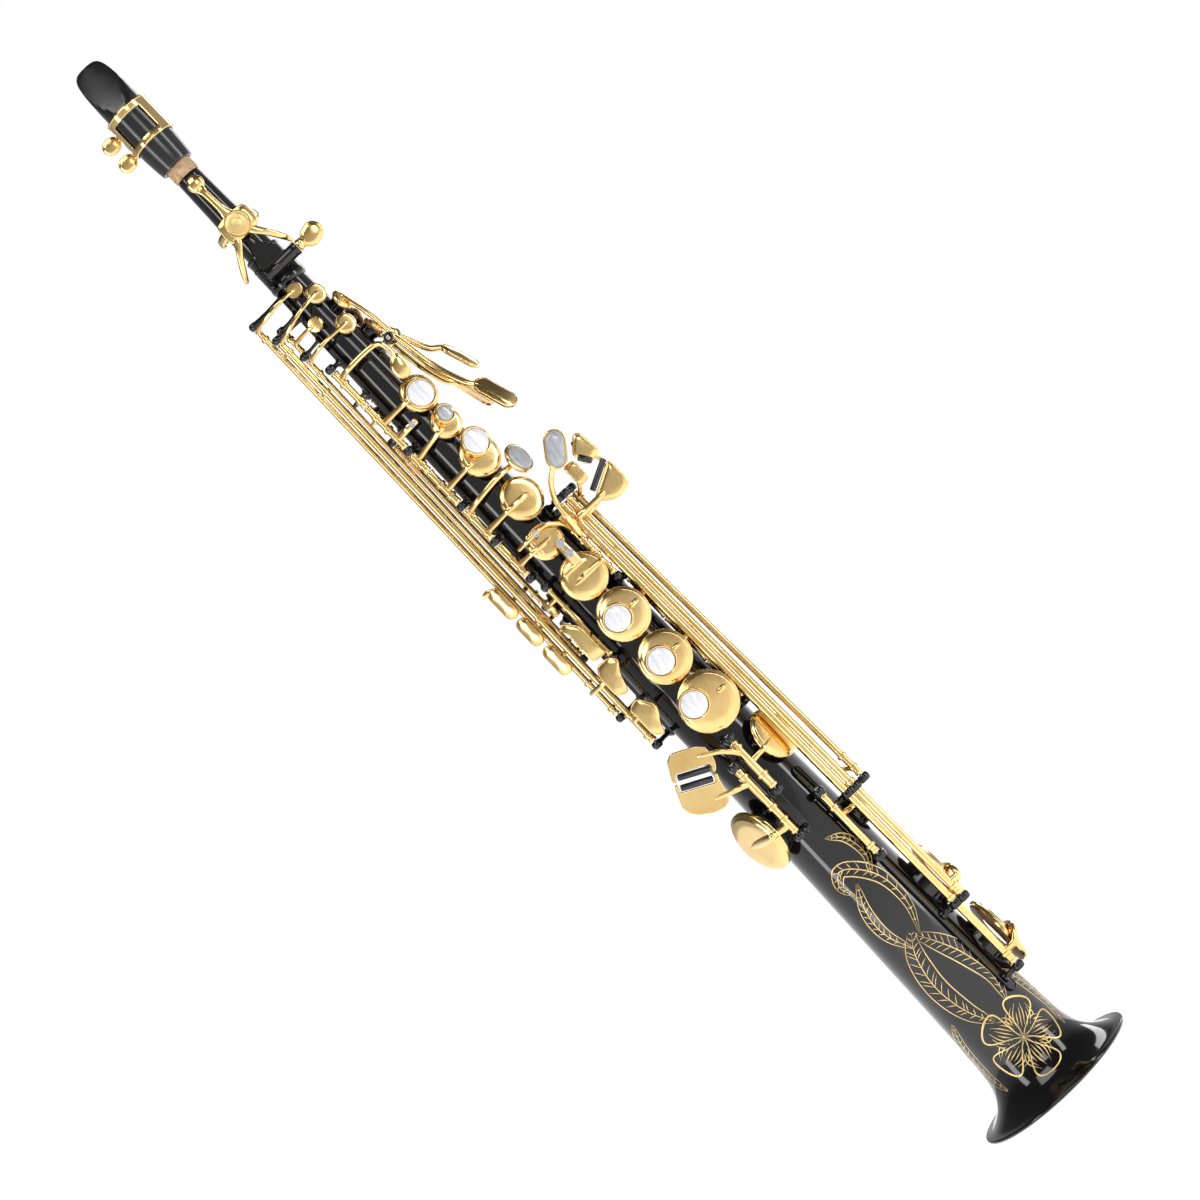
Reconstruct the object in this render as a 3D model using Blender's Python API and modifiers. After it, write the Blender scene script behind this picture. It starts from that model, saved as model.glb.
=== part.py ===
"""Soprano saxophone with a straight body, standing on its bell.

The Z axis is the axis of the conical tube. The bell rim lies on z = 0 and the mouthpiece points up.
The front, with the finger pearls, faces -Y, and the little finger table is on the +X side.
Lengths are in millimetres and become metres when a mesh is made.
"""
import math
from collections import namedtuple

import bmesh
import bpy
from mathutils import Matrix, Vector

MM = 0.001

# Driving dimensions
TUBE_TOP = 565.0
WALL = 1.1
MOUTH_RADIUS = 25.4
TAPER = 0.030
FLARE = 21.0
FLARE_LENGTH = 8.0
GAP = 0.3
CHIMNEY = 2.6
OPEN_LIFT = 5.0
SHUT_LIFT = 3.0
CUP_THICK = 4.2
POST_HEAD = 4.0
POST_RADIUS = 3.0
FOOT_RISE = 1.7
RIB_THICK = 1.4
OCTAVE_PIVOT_Z = 590.0
TABLE_Y = -14.5
FOOT_Y = -28.2
STEM_RADIUS = 1.6
LINK_RADIUS = 1.7
COLLAR_RADIUS = 3.6
RUNNING_GAP = 0.4
SEAT_RISE = 2.6
SEAT_HEIGHT = 3.4
PEARL_RIM = 1.4
TUBE_SIDES = 8
CUP_SIDES = 14
HEAD_SIDES = 8
STEM_SIDES = 6

GOLD = ("gold lacquer", (0.83, 0.62, 0.28, 1), 0.22, 1.0)
BLACK = ("black lacquer", (0.012, 0.012, 0.014, 1), 0.18, 0.0)
EBONITE = ("black ebonite", (0.015, 0.015, 0.016, 1), 0.3, 0.0)
PEARL = ("pearl", (0.9, 0.9, 0.88, 1), 0.25, 0.0)
CANE = ("cane", (0.8, 0.66, 0.42, 1), 0.6, 0.0)
CORK = ("cork", (0.62, 0.44, 0.27, 1), 0.9, 0.0)

Line = namedtuple("Line", "low high radius")
Cup = namedtuple("Cup", "z deg radius lift thick")

# Hinge lines: two points on the axis and the radius of the tube that turns on it
LOW_B_FLAT_LINE = Line((25.6, -19.5, 62), (20.8, -14.2, 378), 2.2)
LOW_B_LINE = Line((29.9, -20.0, 104), (25.4, -12.7, 378), 2.0)
LOW_C_SHARP_LINE = Line((35.0, -15.0, 180), (29.6, -6.5, 378), 1.75)
C_SHARP_PAD_LINE = Line((14.0, -21.2, 147), (14.0, -21.2, 185), 1.75)
EB_LINE = Line((0.0, -26.0, 206), (0.0, -26.0, 235), 2.2)
LOW_C_LINE = Line((-7.8, -25.6, 182), (-7.8, -25.6, 223), 2.0)
LOWER_STACK_LINE = Line((20.2, -10.1, 248), (20.2, -10.1, 328), 2.0)
FRONT_LINE = Line((16.2, -13.6, 336), (16.2, -13.6, 374), 1.9)
UPPER_STACK_LINE = Line((-15.5, -12.5, 365), (-15.5, -12.5, 504), 1.9)
HIGH_F_SHARP_LINE = Line((-27.5, -7.0, 262), (-24.5, -7.0, 533), 1.9)
HIGH_G_LINE = Line((-31.5, 1.0, 284), (-28.5, 1.0, 547), 1.5)
SIDE_E_LINE = Line((-24.5, 3.0, 318), (-20.5, 3.0, 519), 1.3)
SIDE_C_LINE = Line((-12.5, 20.0, 338), (-10.5, 17.5, 484), 1.5)
SIDE_BB_LINE = Line((-20.0, 12.5, 350), (-18.8, 11.6, 458), 1.5)
TRILL_LINE = Line((-13.0, -17.0, 308), (-13.0, -17.0, 352), 1.5)
BODY_OCTAVE_LINE = Line((-19.5, 6.0, 523), (-19.5, 6.0, 536), 1.5)
THUMB_OCTAVE_LINE = Line((9.0, 18.0, 446), (9.0, 18.0, 474), 1.6)

# Pad cups: height, angle from the front towards +X, radius, height above the tube, thickness
LOW_B_FLAT_CUP = Cup(73, 96, 20.0, 5.8, 5.0)
LOW_B_CUP = Cup(115, 94, 19.5, 5.8, 5.0)
C_SHARP_CUP = Cup(166, 92, 11.5, SHUT_LIFT, 3.2)
LOW_C_CUP = Cup(189.5, -61, 18.0, 5.8, 4.6)
EB_CUP = Cup(224, 50, 14.0, SHUT_LIFT, 3.2)
D_CUP = Cup(258, 13.5, 16.0, OPEN_LIFT, CUP_THICK)
E_CUP = Cup(288.5, 13.5, 14.0, OPEN_LIFT, CUP_THICK)
F_CUP = Cup(318, 13.5, 14.0, OPEN_LIFT, CUP_THICK)
F_SHARP_CUP = Cup(345, 11.0, 12.4, OPEN_LIFT, CUP_THICK)
G_SHARP_CUP = Cup(370.5, 7, 9.5, SHUT_LIFT, 3.4)
G_CUP = Cup(394, 25, 11.6, OPEN_LIFT, CUP_THICK)
A_CUP = Cup(423.5, 25, 11.0, OPEN_LIFT, CUP_THICK)
BIS_CUP = Cup(447, 24, 8.4, OPEN_LIFT, CUP_THICK)
B_CUP = Cup(467, 26, 10.0, OPEN_LIFT, CUP_THICK)
TRILL_CUP = Cup(345, -78, 5.6, SHUT_LIFT, 3.0)
SIDE_C_CUP = Cup(474, -108, 6.4, SHUT_LIFT, 3.0)
SIDE_BB_CUP = Cup(447, -95, 7.0, SHUT_LIFT, 3.0)
SIDE_E_CUP = Cup(517.5, 24, 5.6, SHUT_LIFT, 3.0)
HIGH_F_SHARP_CUP = Cup(538.5, 24, 5.6, SHUT_LIFT, 3.0)
HIGH_G_CUP = Cup(547, -5, 4.2, SHUT_LIFT, 3.0)
BODY_OCTAVE_CUP = Cup(527.5, -22, 4.2, SHUT_LIFT, 3.0)
PALM_F_CUP = Cup(528, 66, 6.0, SHUT_LIFT, 3.0)
PALM_D_CUP = Cup(508, 96, 6.4, SHUT_LIFT, 3.0)
PALM_EB_CUP = Cup(519, 130, 6.2, SHUT_LIFT, 3.0)

TONE_HOLES = (
    LOW_B_FLAT_CUP, LOW_B_CUP, C_SHARP_CUP, LOW_C_CUP, EB_CUP, D_CUP, E_CUP, F_CUP, F_SHARP_CUP, G_SHARP_CUP,
    G_CUP, A_CUP, BIS_CUP, B_CUP, TRILL_CUP, SIDE_C_CUP, SIDE_BB_CUP, SIDE_E_CUP, HIGH_F_SHARP_CUP, HIGH_G_CUP,
    BODY_OCTAVE_CUP, PALM_F_CUP, PALM_D_CUP, PALM_EB_CUP,
)

# Outlines of flat touches, as (height, x)
EB_PLATE = [(230.8, -15.2), (234, -12.6), (238, -11.2), (243.5, -11.2), (247, -14.5), (252.6, -26),
            (250.5, -30), (243, -34.2), (240.6, -34.9), (239.8, -33.2), (243.6, -31.2), (235.4, -14.9), (231.5, -16.9)]
LOW_C_PLATE = [(214.8, -24.5), (216, -20.6), (221, -18.2), (226.5, -17), (229.9, -15.6), (230.7, -17.4),
               (226.9, -19.3), (235.2, -35.5), (239, -33.6), (239.8, -35.2), (236, -37), (229, -40),
               (225, -39.6), (221, -36.5), (216.4, -30)]
LOW_B_FLAT_PLATE = [(361, 47), (361.6, 42), (365, 37), (369.6, 35.4), (378.4, 52.2), (376.6, 53.3),
                    (366, 53.3), (362.6, 52)]
LOW_B_PLATE = [(385, 53.3), (398.4, 51.6), (399.6, 48.6), (392.4, 41.6), (384.2, 43.2), (383, 46.6)]
LOW_C_SHARP_PLATE = [(378, 34), (378.6, 40.2), (390.4, 40.4), (391, 33.4)]
HIGH_F_SHARP_TOUCH = [(261, -21.5), (262, -20), (267, -18.5), (271.5, -14.8), (276, -14.3), (283, -18.5),
                      (283.5, -21), (282, -25.7), (265, -25.7)]
HIGH_G_TOUCH = [(288.4, -20.5), (290, -18.5), (298, -16), (304, -11.6), (308.2, -15), (308.2, -22.6),
                (303, -25.6), (291, -25.4)]
TRILL_TOUCH = [(309.8, -14), (316, -14.2), (327, -14.2), (331, -15.8), (335.7, -20), (334, -24),
               (331.6, -21.4), (316.4, -22.6), (311, -22)]


def tube_radius(z):
    """Outer radius of the body tube at height z, with the bell's flare."""
    return MOUTH_RADIUS - TAPER * z + FLARE * math.exp(-max(z, 0.0) / FLARE_LENGTH)


def radial(deg):
    return Vector((math.sin(math.radians(deg)), -math.cos(math.radians(deg)), 0))


def at(z, deg, rho):
    """Point at height z, at an angle from the front, at a distance from the tube's axis."""
    return radial(deg) * rho + Vector((0, 0, z))


def on(line, z):
    """Point of a hinge line at height z."""
    low, high = Vector(line.low), Vector(line.high)
    return low + (high - low) * (z - low.z) / (high.z - low.z)


def direction(line):
    """Unit vector up a hinge line."""
    return (Vector(line.high) - Vector(line.low)).normalized()


def turn_to(origin, axis, side=None):
    """Matrix that puts local Z along an axis, with local X near a side direction."""
    z_axis = Vector(axis).normalized()
    hint = Vector(side) if side else Vector((0, 0, 1)) if abs(z_axis.z) < 0.9 else Vector((1, 0, 0))
    y_axis = z_axis.cross(hint).normalized()
    x_axis = y_axis.cross(z_axis)
    turn = Matrix((x_axis, y_axis, z_axis)).transposed().to_4x4()
    return Matrix.Translation(Vector(origin) * MM) @ turn


def clear_scene():
    for old in list(bpy.data.objects):
        bpy.data.objects.remove(old)


def new_collection(name):
    collection = bpy.data.collections.new(name)
    bpy.context.scene.collection.children.link(collection)
    return collection


clear_scene()
PARTS = new_collection("soprano_saxophone")
WORKING = new_collection("working_shapes")
MATERIALS = {}


def material(spec):
    name, colour, roughness, metallic = spec
    made = bpy.data.materials.new(name)
    made.use_nodes = True
    shader = made.node_tree.nodes["Principled BSDF"]
    shader.inputs["Base Color"].default_value = colour
    shader.inputs["Roughness"].default_value = roughness
    shader.inputs["Metallic"].default_value = metallic
    return made


def working_object(data):
    obj = bpy.data.objects.new("shape", data)
    WORKING.objects.link(obj)
    return obj


def to_mesh(obj):
    """Turn a curve or a mesh with modifiers into a plain welded mesh object."""
    bpy.context.view_layer.update()
    evaluated = obj.evaluated_get(bpy.context.evaluated_depsgraph_get())
    mesh = bpy.data.meshes.new_from_object(evaluated)
    mesh.transform(obj.matrix_world)
    shell = bmesh.new()
    shell.from_mesh(mesh)
    bmesh.ops.remove_doubles(shell, verts=shell.verts, dist=0.00001)
    bmesh.ops.recalc_face_normals(shell, faces=shell.faces)
    shell.to_mesh(mesh)
    shell.free()
    bpy.data.objects.remove(obj)
    return working_object(mesh)


def cone(low, high, low_radius, high_radius, sides=10):
    """Straight round piece between two points."""
    low, high = Vector(low), Vector(high)
    shell = bmesh.new()
    place = turn_to((low + high) / 2, high - low)
    bmesh.ops.create_cone(shell, cap_ends=True, segments=sides, radius1=low_radius * MM,
                          radius2=high_radius * MM, depth=(high - low).length * MM, matrix=place)
    mesh = bpy.data.meshes.new("cone")
    shell.to_mesh(mesh)
    shell.free()
    return working_object(mesh)


def rod(low, high, radius, sides=10):
    return cone(low, high, radius, radius, sides)


def bar(low, high, width, thick, outward):
    """Straight flat bar between two points, its flat side facing outward."""
    low, high = Vector(low), Vector(high)
    shell = bmesh.new()
    bmesh.ops.create_cube(shell, size=1.0)
    size = Matrix.Diagonal((thick * MM, width * MM, (high - low).length * MM, 1))
    bmesh.ops.transform(shell, matrix=turn_to((low + high) / 2, high - low, outward) @ size, verts=shell.verts)
    mesh = bpy.data.meshes.new("bar")
    shell.to_mesh(mesh)
    shell.free()
    return working_object(mesh)


def wire(points, radius, resolution=1):
    """Bent round arm through points."""
    curve = bpy.data.curves.new("wire", "CURVE")
    curve.dimensions = "3D"
    curve.bevel_depth = radius * MM
    curve.bevel_resolution = resolution
    curve.use_fill_caps = True
    spline = curve.splines.new("POLY")
    spline.points.add(len(points) - 1)
    for place, point in zip(spline.points, points):
        place.co = (*(Vector(point) * MM), 1)
    return to_mesh(working_object(curve))


def plate(outline, thick, origin, normal, side=None):
    """Flat plate of an outline drawn in its own plane, centred on the origin."""
    curve = bpy.data.curves.new("plate", "CURVE")
    curve.dimensions = "2D"
    curve.fill_mode = "BOTH"
    curve.extrude = thick / 2 * MM
    spline = curve.splines.new("POLY")
    spline.points.add(len(outline) - 1)
    spline.use_cyclic_u = True
    for place, (along, across) in zip(spline.points, outline):
        place.co = (along * MM, across * MM, 0, 1)
    obj = working_object(curve)
    obj.matrix_world = turn_to(origin, normal, side)
    return to_mesh(obj)


def slanted(corners, y, thick):
    """Flat plate facing the front, its corners given as (height, x)."""
    zs, xs = [z for z, x in corners], [x for z, x in corners]
    mid_z, mid_x = (min(zs) + max(zs)) / 2, (min(xs) + max(xs)) / 2
    outline = [(z - mid_z, mid_x - x) for z, x in corners]
    return plate(outline, thick, (mid_x, y, mid_z), (0, -1, 0))


def rounded(length, width, steps=3):
    """Outline of a plate with round ends, its length along local X."""
    half = (length - width) / 2
    right = [(half + width / 2 * math.cos(a), width / 2 * math.sin(a))
             for a in (math.pi * (i / steps - 0.5) for i in range(steps + 1))]
    return right + [(-x, -y) for x, y in right]


def turned(profile, origin, axis, sides=20, closed=False):
    """Turned piece; the profile lists (radius, height) down its outer side from top to bottom."""
    mesh = bpy.data.meshes.new("profile")
    points = [(r * MM, 0, h * MM) for r, h in profile]
    edges = [(i, i + 1) for i in range(len(points) - 1)]
    if closed:
        edges.append((len(points) - 1, 0))
    mesh.from_pydata(points, edges, [])
    obj = working_object(mesh)
    screw = obj.modifiers.new("turn", "SCREW")
    screw.steps = sides
    screw.render_steps = sides
    screw.use_merge_vertices = True
    screw.merge_threshold = 0.00002
    obj.matrix_world = turn_to(origin, axis)
    return to_mesh(obj)


def fuse(name, spec, pieces, cuts=(), origin=(0, 0, 0)):
    """Join pieces into one closed solid with Boolean unions, then take the cuts away."""
    base = pieces[0]
    steps = [(other, "UNION") for other in pieces[1:]] + [(other, "DIFFERENCE") for other in cuts]
    for other, operation in steps:
        joint = base.modifiers.new(operation.lower(), "BOOLEAN")
        joint.operation = operation
        joint.object = other
    bpy.context.view_layer.update()
    evaluated = base.evaluated_get(bpy.context.evaluated_depsgraph_get())
    mesh = bpy.data.meshes.new_from_object(evaluated)
    for other in [base] + [step[0] for step in steps]:
        bpy.data.objects.remove(other)
    return finish_solid(name, spec, mesh, origin)


def finish_solid(name, spec, mesh, origin):
    shell = bmesh.new()
    shell.from_mesh(mesh)
    bmesh.ops.remove_doubles(shell, verts=shell.verts, dist=0.000001)
    bmesh.ops.dissolve_limit(shell, angle_limit=0.0005, verts=shell.verts, edges=shell.edges)
    bmesh.ops.translate(shell, vec=Vector(origin) * -MM, verts=shell.verts)
    bmesh.ops.triangulate(shell, faces=shell.faces)
    shell.to_mesh(mesh)
    shell.free()
    mesh.shade_smooth()
    mesh.set_sharp_from_angle(angle=math.radians(35))
    if spec not in MATERIALS:
        MATERIALS[spec] = material(spec)
    mesh.materials.clear()
    mesh.materials.append(MATERIALS[spec].copy())
    obj = bpy.data.objects.new(name, mesh)
    obj.location = Vector(origin) * MM
    PARTS.objects.link(obj)
    return obj


# ---- pieces of a key ----

def cup_rho(cup):
    """Distance of a cup's outer face from the tube's axis."""
    return tube_radius(cup.z) + cup.lift + cup.thick


def cup_top(cup, above=0.0):
    return at(cup.z, cup.deg, cup_rho(cup) + above)


def pad_cup(cup):
    """Pad cup with its pad, bevelled round its outer face."""
    top, edge = cup.thick, cup.radius
    profile = [(0, top), (edge * 0.86, top), (edge, top * 0.7), (edge, 0), (0, 0)]
    return turned(profile, at(cup.z, cup.deg, tube_radius(cup.z) + cup.lift), radial(cup.deg), CUP_SIDES)


def hinge_tube(line, low, high):
    return rod(on(line, low), on(line, high), line.radius, TUBE_SIDES)


def shoulder(cup, towards, above=0.8, inset=0.9):
    """Point above the edge of a cup on the side nearest a given point."""
    normal = radial(cup.deg)
    away = Vector(towards) - cup_top(cup)
    away -= normal * away.dot(normal)
    away.z = 0
    return cup_top(cup, above) + away.normalized() * cup.radius * inset


def cup_arm(line, z, cup, width=1.2, inset=0.9):
    """Arm from a hinge tube over the edge of a cup to its middle."""
    start = on(line, z)
    edge = shoulder(cup, start, inset=inset)
    edge.z = z + (cup.z - z) * 0.6
    return wire([start, edge, cup_top(cup, 0.4)], width)


def holder(z, deg, rho, radius=8.3):
    """Round seat under a pearl, its outer face at the given distance."""
    return rod(at(z, deg, rho - SEAT_HEIGHT), at(z, deg, rho), radius, CUP_SIDES)


def pearl(name, z, deg, rho, radius=6.8):
    """Domed pearl disc, just above its seat."""
    profile = [(0, 1.7), (radius * 0.7, 1.4), (radius, 0.7), (radius, 0), (0, 0)]
    disc = turned(profile, at(z, deg, rho + GAP), radial(deg), CUP_SIDES)
    return fuse(name, PEARL, [disc], origin=at(z, deg, rho))


def key(name, line, low, high, pieces, spec=GOLD):
    return fuse(name, spec, [hinge_tube(line, low, high)] + pieces, origin=on(line, low))


# ---- the tube and what is soldered to it ----

def tube_outline():
    """Heights where the body's profile has a point, close together in the flare."""
    return [2.0, 5.0, 9.0, 15.0, 25.0, 45.0, 90.0, 330.0, TUBE_TOP]


def make_body_tube():
    heights = tube_outline()
    rim = tube_radius(0)
    outer = [(tube_radius(z), z) for z in reversed(heights)]
    bead = [(rim - 0.6, 1.9), (rim, 1.0), (rim - 0.6, 0.0), (rim - 2.4, 0.0)]
    inner = [(tube_radius(z) - WALL, z) for z in heights[1:]]
    inner[-1] = (inner[-1][0], TUBE_TOP)
    tube = turned(outer[:-1] + bead + inner, (0, 0, 0), (0, 0, 1), 32, closed=True)
    chimneys = []
    bores = []
    for hole in TONE_HOLES:
        wide = hole.radius * 0.72
        surface = tube_radius(hole.z)
        root = math.sqrt(max(surface ** 2 - wide ** 2, 0.0)) - WALL * 0.4
        chimneys.append(rod(at(hole.z, hole.deg, root), at(hole.z, hole.deg, surface + CHIMNEY), wide, 10))
        bores.append(rod(at(hole.z, hole.deg, root - 5.0), at(hole.z, hole.deg, surface + 9.0), wide - 1.0, 8))
    fuse("body_tube", BLACK, [tube] + chimneys, bores)


def rib_bar(low, high, deg, width):
    """Long strip on the tube that carries posts."""
    rise = GAP + RIB_THICK / 2
    return bar(at(low, deg, tube_radius(low) + rise), at(high, deg, tube_radius(high) + rise), width, RIB_THICK,
               radial(deg))


def post_head(line, z, head=POST_RADIUS, sides=10):
    """Round head of a post about a hinge line."""
    half = direction(line) * POST_HEAD / 2
    return [rod(on(line, z) - half, on(line, z) + half, head, sides)]


def foot_point(z, rib_deg):
    """Where a post stands on its rib."""
    return at(z, rib_deg, tube_radius(z) + FOOT_RISE)


def post(z, rib_deg, line, head=POST_RADIUS, stem=STEM_RADIUS):
    """Post from a rib to a hinge line, with a round head about the line."""
    return [rod(foot_point(z, rib_deg), on(line, z), stem, STEM_SIDES)] + post_head(line, z, head, HEAD_SIDES)


def through(line, z):
    """Collar of a double post about a tube that passes through it, and the hole for that tube."""
    step = direction(line) * POST_HEAD
    centre = on(line, z)
    collar = rod(centre - step / 2, centre + step / 2, COLLAR_RADIUS, 10)
    hole = rod(centre - step, centre + step, line.radius + RUNNING_GAP, 10)
    return collar, hole


def link(low_line, high_line, z):
    """Stem from one hinge line to the next at one height."""
    return rod(on(low_line, z), on(high_line, z), LINK_RADIUS, 8)


def make_bell_key_rib():
    deg = 42
    low_z, high_z = 101, 177
    pieces = [rib_bar(50, 205, deg, 6.0)]
    pieces += post(57.6, deg, LOW_B_FLAT_LINE)
    pieces += post(144.2, deg, C_SHARP_PAD_LINE) + post(187.8, deg, C_SHARP_PAD_LINE)
    cuts = []
    for line, z in ((LOW_B_FLAT_LINE, low_z), (LOW_B_FLAT_LINE, high_z), (LOW_B_LINE, high_z)):
        collar, hole = through(line, z)
        pieces.append(collar)
        cuts.append(hole)
    for z in (low_z, high_z):
        pieces.append(rod(foot_point(z, deg), on(LOW_B_FLAT_LINE, z), LINK_RADIUS, 8))
        pieces.append(link(LOW_B_FLAT_LINE, LOW_B_LINE, z))
    pieces += post_head(LOW_B_LINE, low_z)
    pieces += [link(LOW_B_LINE, LOW_C_SHARP_LINE, high_z)] + post_head(LOW_C_SHARP_LINE, high_z)
    fuse("bell_key_rib", BLACK, pieces, cuts)


def make_low_key_rib():
    deg = -8
    pieces = [rib_bar(176, 241, deg, 6.0)]
    pieces += post(203.2, deg, EB_LINE) + post(237.6, deg, EB_LINE)
    pieces += post(179.4, deg, LOW_C_LINE) + post(225.8, deg, LOW_C_LINE)
    fuse("low_key_rib", BLACK, pieces)


def make_lower_stack_rib():
    deg = 68
    table_z = 381.2
    pieces = [rib_bar(243, 384, deg, 5.0)]
    pieces += post(245.4, deg, LOWER_STACK_LINE, head=2.6) + post(331.4, deg, LOWER_STACK_LINE, head=2.6)
    pieces += post(333.6, deg, FRONT_LINE, head=2.6) + post(376.6, deg, FRONT_LINE, head=2.0)
    pieces += post(table_z, deg, LOW_B_FLAT_LINE)
    pieces += [link(LOW_B_FLAT_LINE, LOW_B_LINE, table_z)] + post_head(LOW_B_LINE, table_z)
    pieces += [link(LOW_B_LINE, LOW_C_SHARP_LINE, table_z)] + post_head(LOW_C_SHARP_LINE, table_z)
    fuse("lower_stack_rib", BLACK, pieces)


def bent_post(bend, rib_deg, line, stem):
    """Post that turns a corner round the tube before it reaches its hinge line."""
    z = bend.z
    knee = Vector((0, 0, stem + 0.15))
    return [rod(foot_point(z, rib_deg), bend, stem, 8), rod(bend, on(line, z), stem, 8),
            rod(bend - knee, bend + knee, stem + 0.4, 10)] + post_head(line, z, 2.4)


def make_upper_stack_rib():
    deg = -54
    pieces = [rib_bar(302, 550.6, deg, 4.0)]
    pieces += post(305.6, deg, TRILL_LINE, head=2.2) + post(354.4, deg, TRILL_LINE, head=2.2)
    for z in (362.6, 388.0, 412.0, 450.0, 506.2):
        pieces += post(z, deg, UPPER_STACK_LINE, head=2.6)
    pieces += post(460.8, deg, SIDE_BB_LINE, head=2.4, stem=1.2)
    waist = Vector((-19.0, 7.0, 486.6))
    pieces += bent_post(waist, deg, SIDE_C_LINE, 1.3)
    for z in (521.5, 538.6):
        bend = on(SIDE_E_LINE, z)
        pieces += post(z, deg, SIDE_E_LINE, head=2.4, stem=1.2)
        pieces += [rod(bend, on(BODY_OCTAVE_LINE, z), 1.4, 8)] + post_head(BODY_OCTAVE_LINE, z, 2.4)
    pieces += post(535.6, deg, HIGH_F_SHARP_LINE, head=2.6) + post(549.6, deg, HIGH_G_LINE, head=2.4)
    fuse("upper_stack_rib", BLACK, pieces)


def make_side_rib():
    deg = -104
    pieces = [rib_bar(256, 352, deg, 5.0)]
    pieces += post(259.4, deg, HIGH_F_SHARP_LINE, head=2.6) + post(281.4, deg, HIGH_G_LINE, head=2.4)
    pieces += post(315.4, deg, SIDE_E_LINE, head=2.2) + post(347.4, deg, SIDE_BB_LINE, head=2.4)
    bend = Vector((-20.0, 12.5, 335.6))
    pieces += bent_post(bend, deg, SIDE_C_LINE, STEM_RADIUS)
    fuse("side_rib", BLACK, pieces)


# ---- keys of the low notes ----

def bell_arm(line, z, cup, swing):
    """Arm of a bell key: out from its long tube and over the middle of the cup."""
    start = on(line, z)
    return wire([start, start + Vector(swing), shoulder(cup, start, 1.6), cup_top(cup, 0.6)], 1.7)


def make_low_b_flat_key():
    line = LOW_B_FLAT_LINE
    start = on(line, 368)
    reach = [(27.5, -18.2, 368), (36, -15, 368), (44, -14, 368)]
    arm = wire([start, start + Vector((1.8, -3.6, 0))] + reach, 1.3)
    pieces = [arm, slanted(LOW_B_FLAT_PLATE, TABLE_Y, 2.0)]
    pieces += [pad_cup(LOW_B_FLAT_CUP), bell_arm(line, 67, LOW_B_FLAT_CUP, (7, -1, 1))]
    key("low_b_flat_key", line, 60.2, 378.4, pieces)


def make_low_b_key():
    line = LOW_B_LINE
    reach = [(36.5, -8.2, 367), (46, -6.4, 369.5), (50.5, -6.6, 377), (50.5, -7.2, 386), (49, -14, 391)]
    arm = wire([on(line, 366)] + reach, 1.2)
    pieces = [arm, slanted(LOW_B_PLATE, TABLE_Y, 2.0)]
    pieces += [pad_cup(LOW_B_CUP), bell_arm(line, 110, LOW_B_CUP, (5.5, -0.5, 1))]
    key("low_b_key", line, 103.6, 378.4, pieces)


def make_low_c_sharp_lever():
    line = LOW_C_SHARP_LINE
    arm = wire([on(line, 376.8), (34.4, -11.6, 379.0), (38, -13.8, 386)], 1.1)
    foot_start = on(line, 184)
    foot = wire([foot_start, foot_start + Vector((-3.4, 3.2, 2)), foot_start + Vector((-7, 5.2, 6))], 1.2)
    pieces = [arm, foot, slanted(LOW_C_SHARP_PLATE, TABLE_Y, 2.0)]
    pieces.append(rod(on(line, 183), on(line, 185.5), 3.0, 12))
    key("low_c_sharp_lever", line, 179.6, 378.4, pieces)


def make_low_c_sharp_key():
    line = C_SHARP_PAD_LINE
    start = on(line, 172)
    edge = at(170, 60, tube_radius(168) + 5.6)
    pieces = [pad_cup(C_SHARP_CUP), wire([start, edge, cup_top(C_SHARP_CUP, 0.3)], 1.1)]
    pieces += [rod(on(line, 150), on(line, 152), 2.6, 12), rod(on(line, 176), on(line, 178), 2.6, 10)]
    key("low_c_sharp_key", line, 146.6, 185.4, pieces)


def make_eb_key():
    line = EB_LINE
    arm = wire([on(line, 229), (-3.5, -29.8, 232.6), (-8, -30, 237), (-16, -28.4, 242)], 1.3)
    pieces = [arm, slanted(EB_PLATE, FOOT_Y, 2.2), pad_cup(EB_CUP)]
    pieces.append(wire([on(line, 222), at(222.6, 22, 27.2), cup_top(EB_CUP, 0.3)], 1.3))
    pieces.append(rod(on(line, 212.5), on(line, 214.5), 2.9, 12))
    key("eb_key", line, 205.6, 235.2, pieces)


def make_low_c_key():
    line = LOW_C_LINE
    arm = wire([on(line, 215), (-14, -29.0, 217), (-24, -28.4, 221)], 1.3)
    pieces = [arm, slanted(LOW_C_PLATE, FOOT_Y, 2.2), pad_cup(LOW_C_CUP)]
    pieces.append(wire([on(line, 187), shoulder(LOW_C_CUP, on(line, 187), 1.2), cup_top(LOW_C_CUP, 0.5)], 1.6))
    pieces += [rod(on(line, z), on(line, z + 2), 2.7, 12) for z in (190, 198)]
    key("low_c_key", line, 181.8, 223.4, pieces)


def make_roller(name, low, high, radius=1.5):
    """Roller beside a finger plate, turning on its own pin."""
    low, high = Vector(low), Vector(high)
    fuse(name, EBONITE, [rod(low, high, radius, 10)], origin=low)


# ---- stack keys ----

def make_stack_key(name, line, low, high, cup, arm_z, seat=None, more=(), inset=0.9, width=1.2):
    """Key of a stack: hinge tube, cup, arm, and the seat of its pearl as (height, angle, radius)."""
    pieces = [pad_cup(cup), cup_arm(line, arm_z, cup, width, inset)]
    if seat:
        z, deg, radius = seat
        rho = cup_rho(cup) + SEAT_RISE
        pieces.append(holder(z, deg, rho, radius))
        pearl(name.replace("_key", "_pearl"), z, deg, rho, radius - PEARL_RIM)
    key(name, line, low, high, pieces + list(more))


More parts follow.
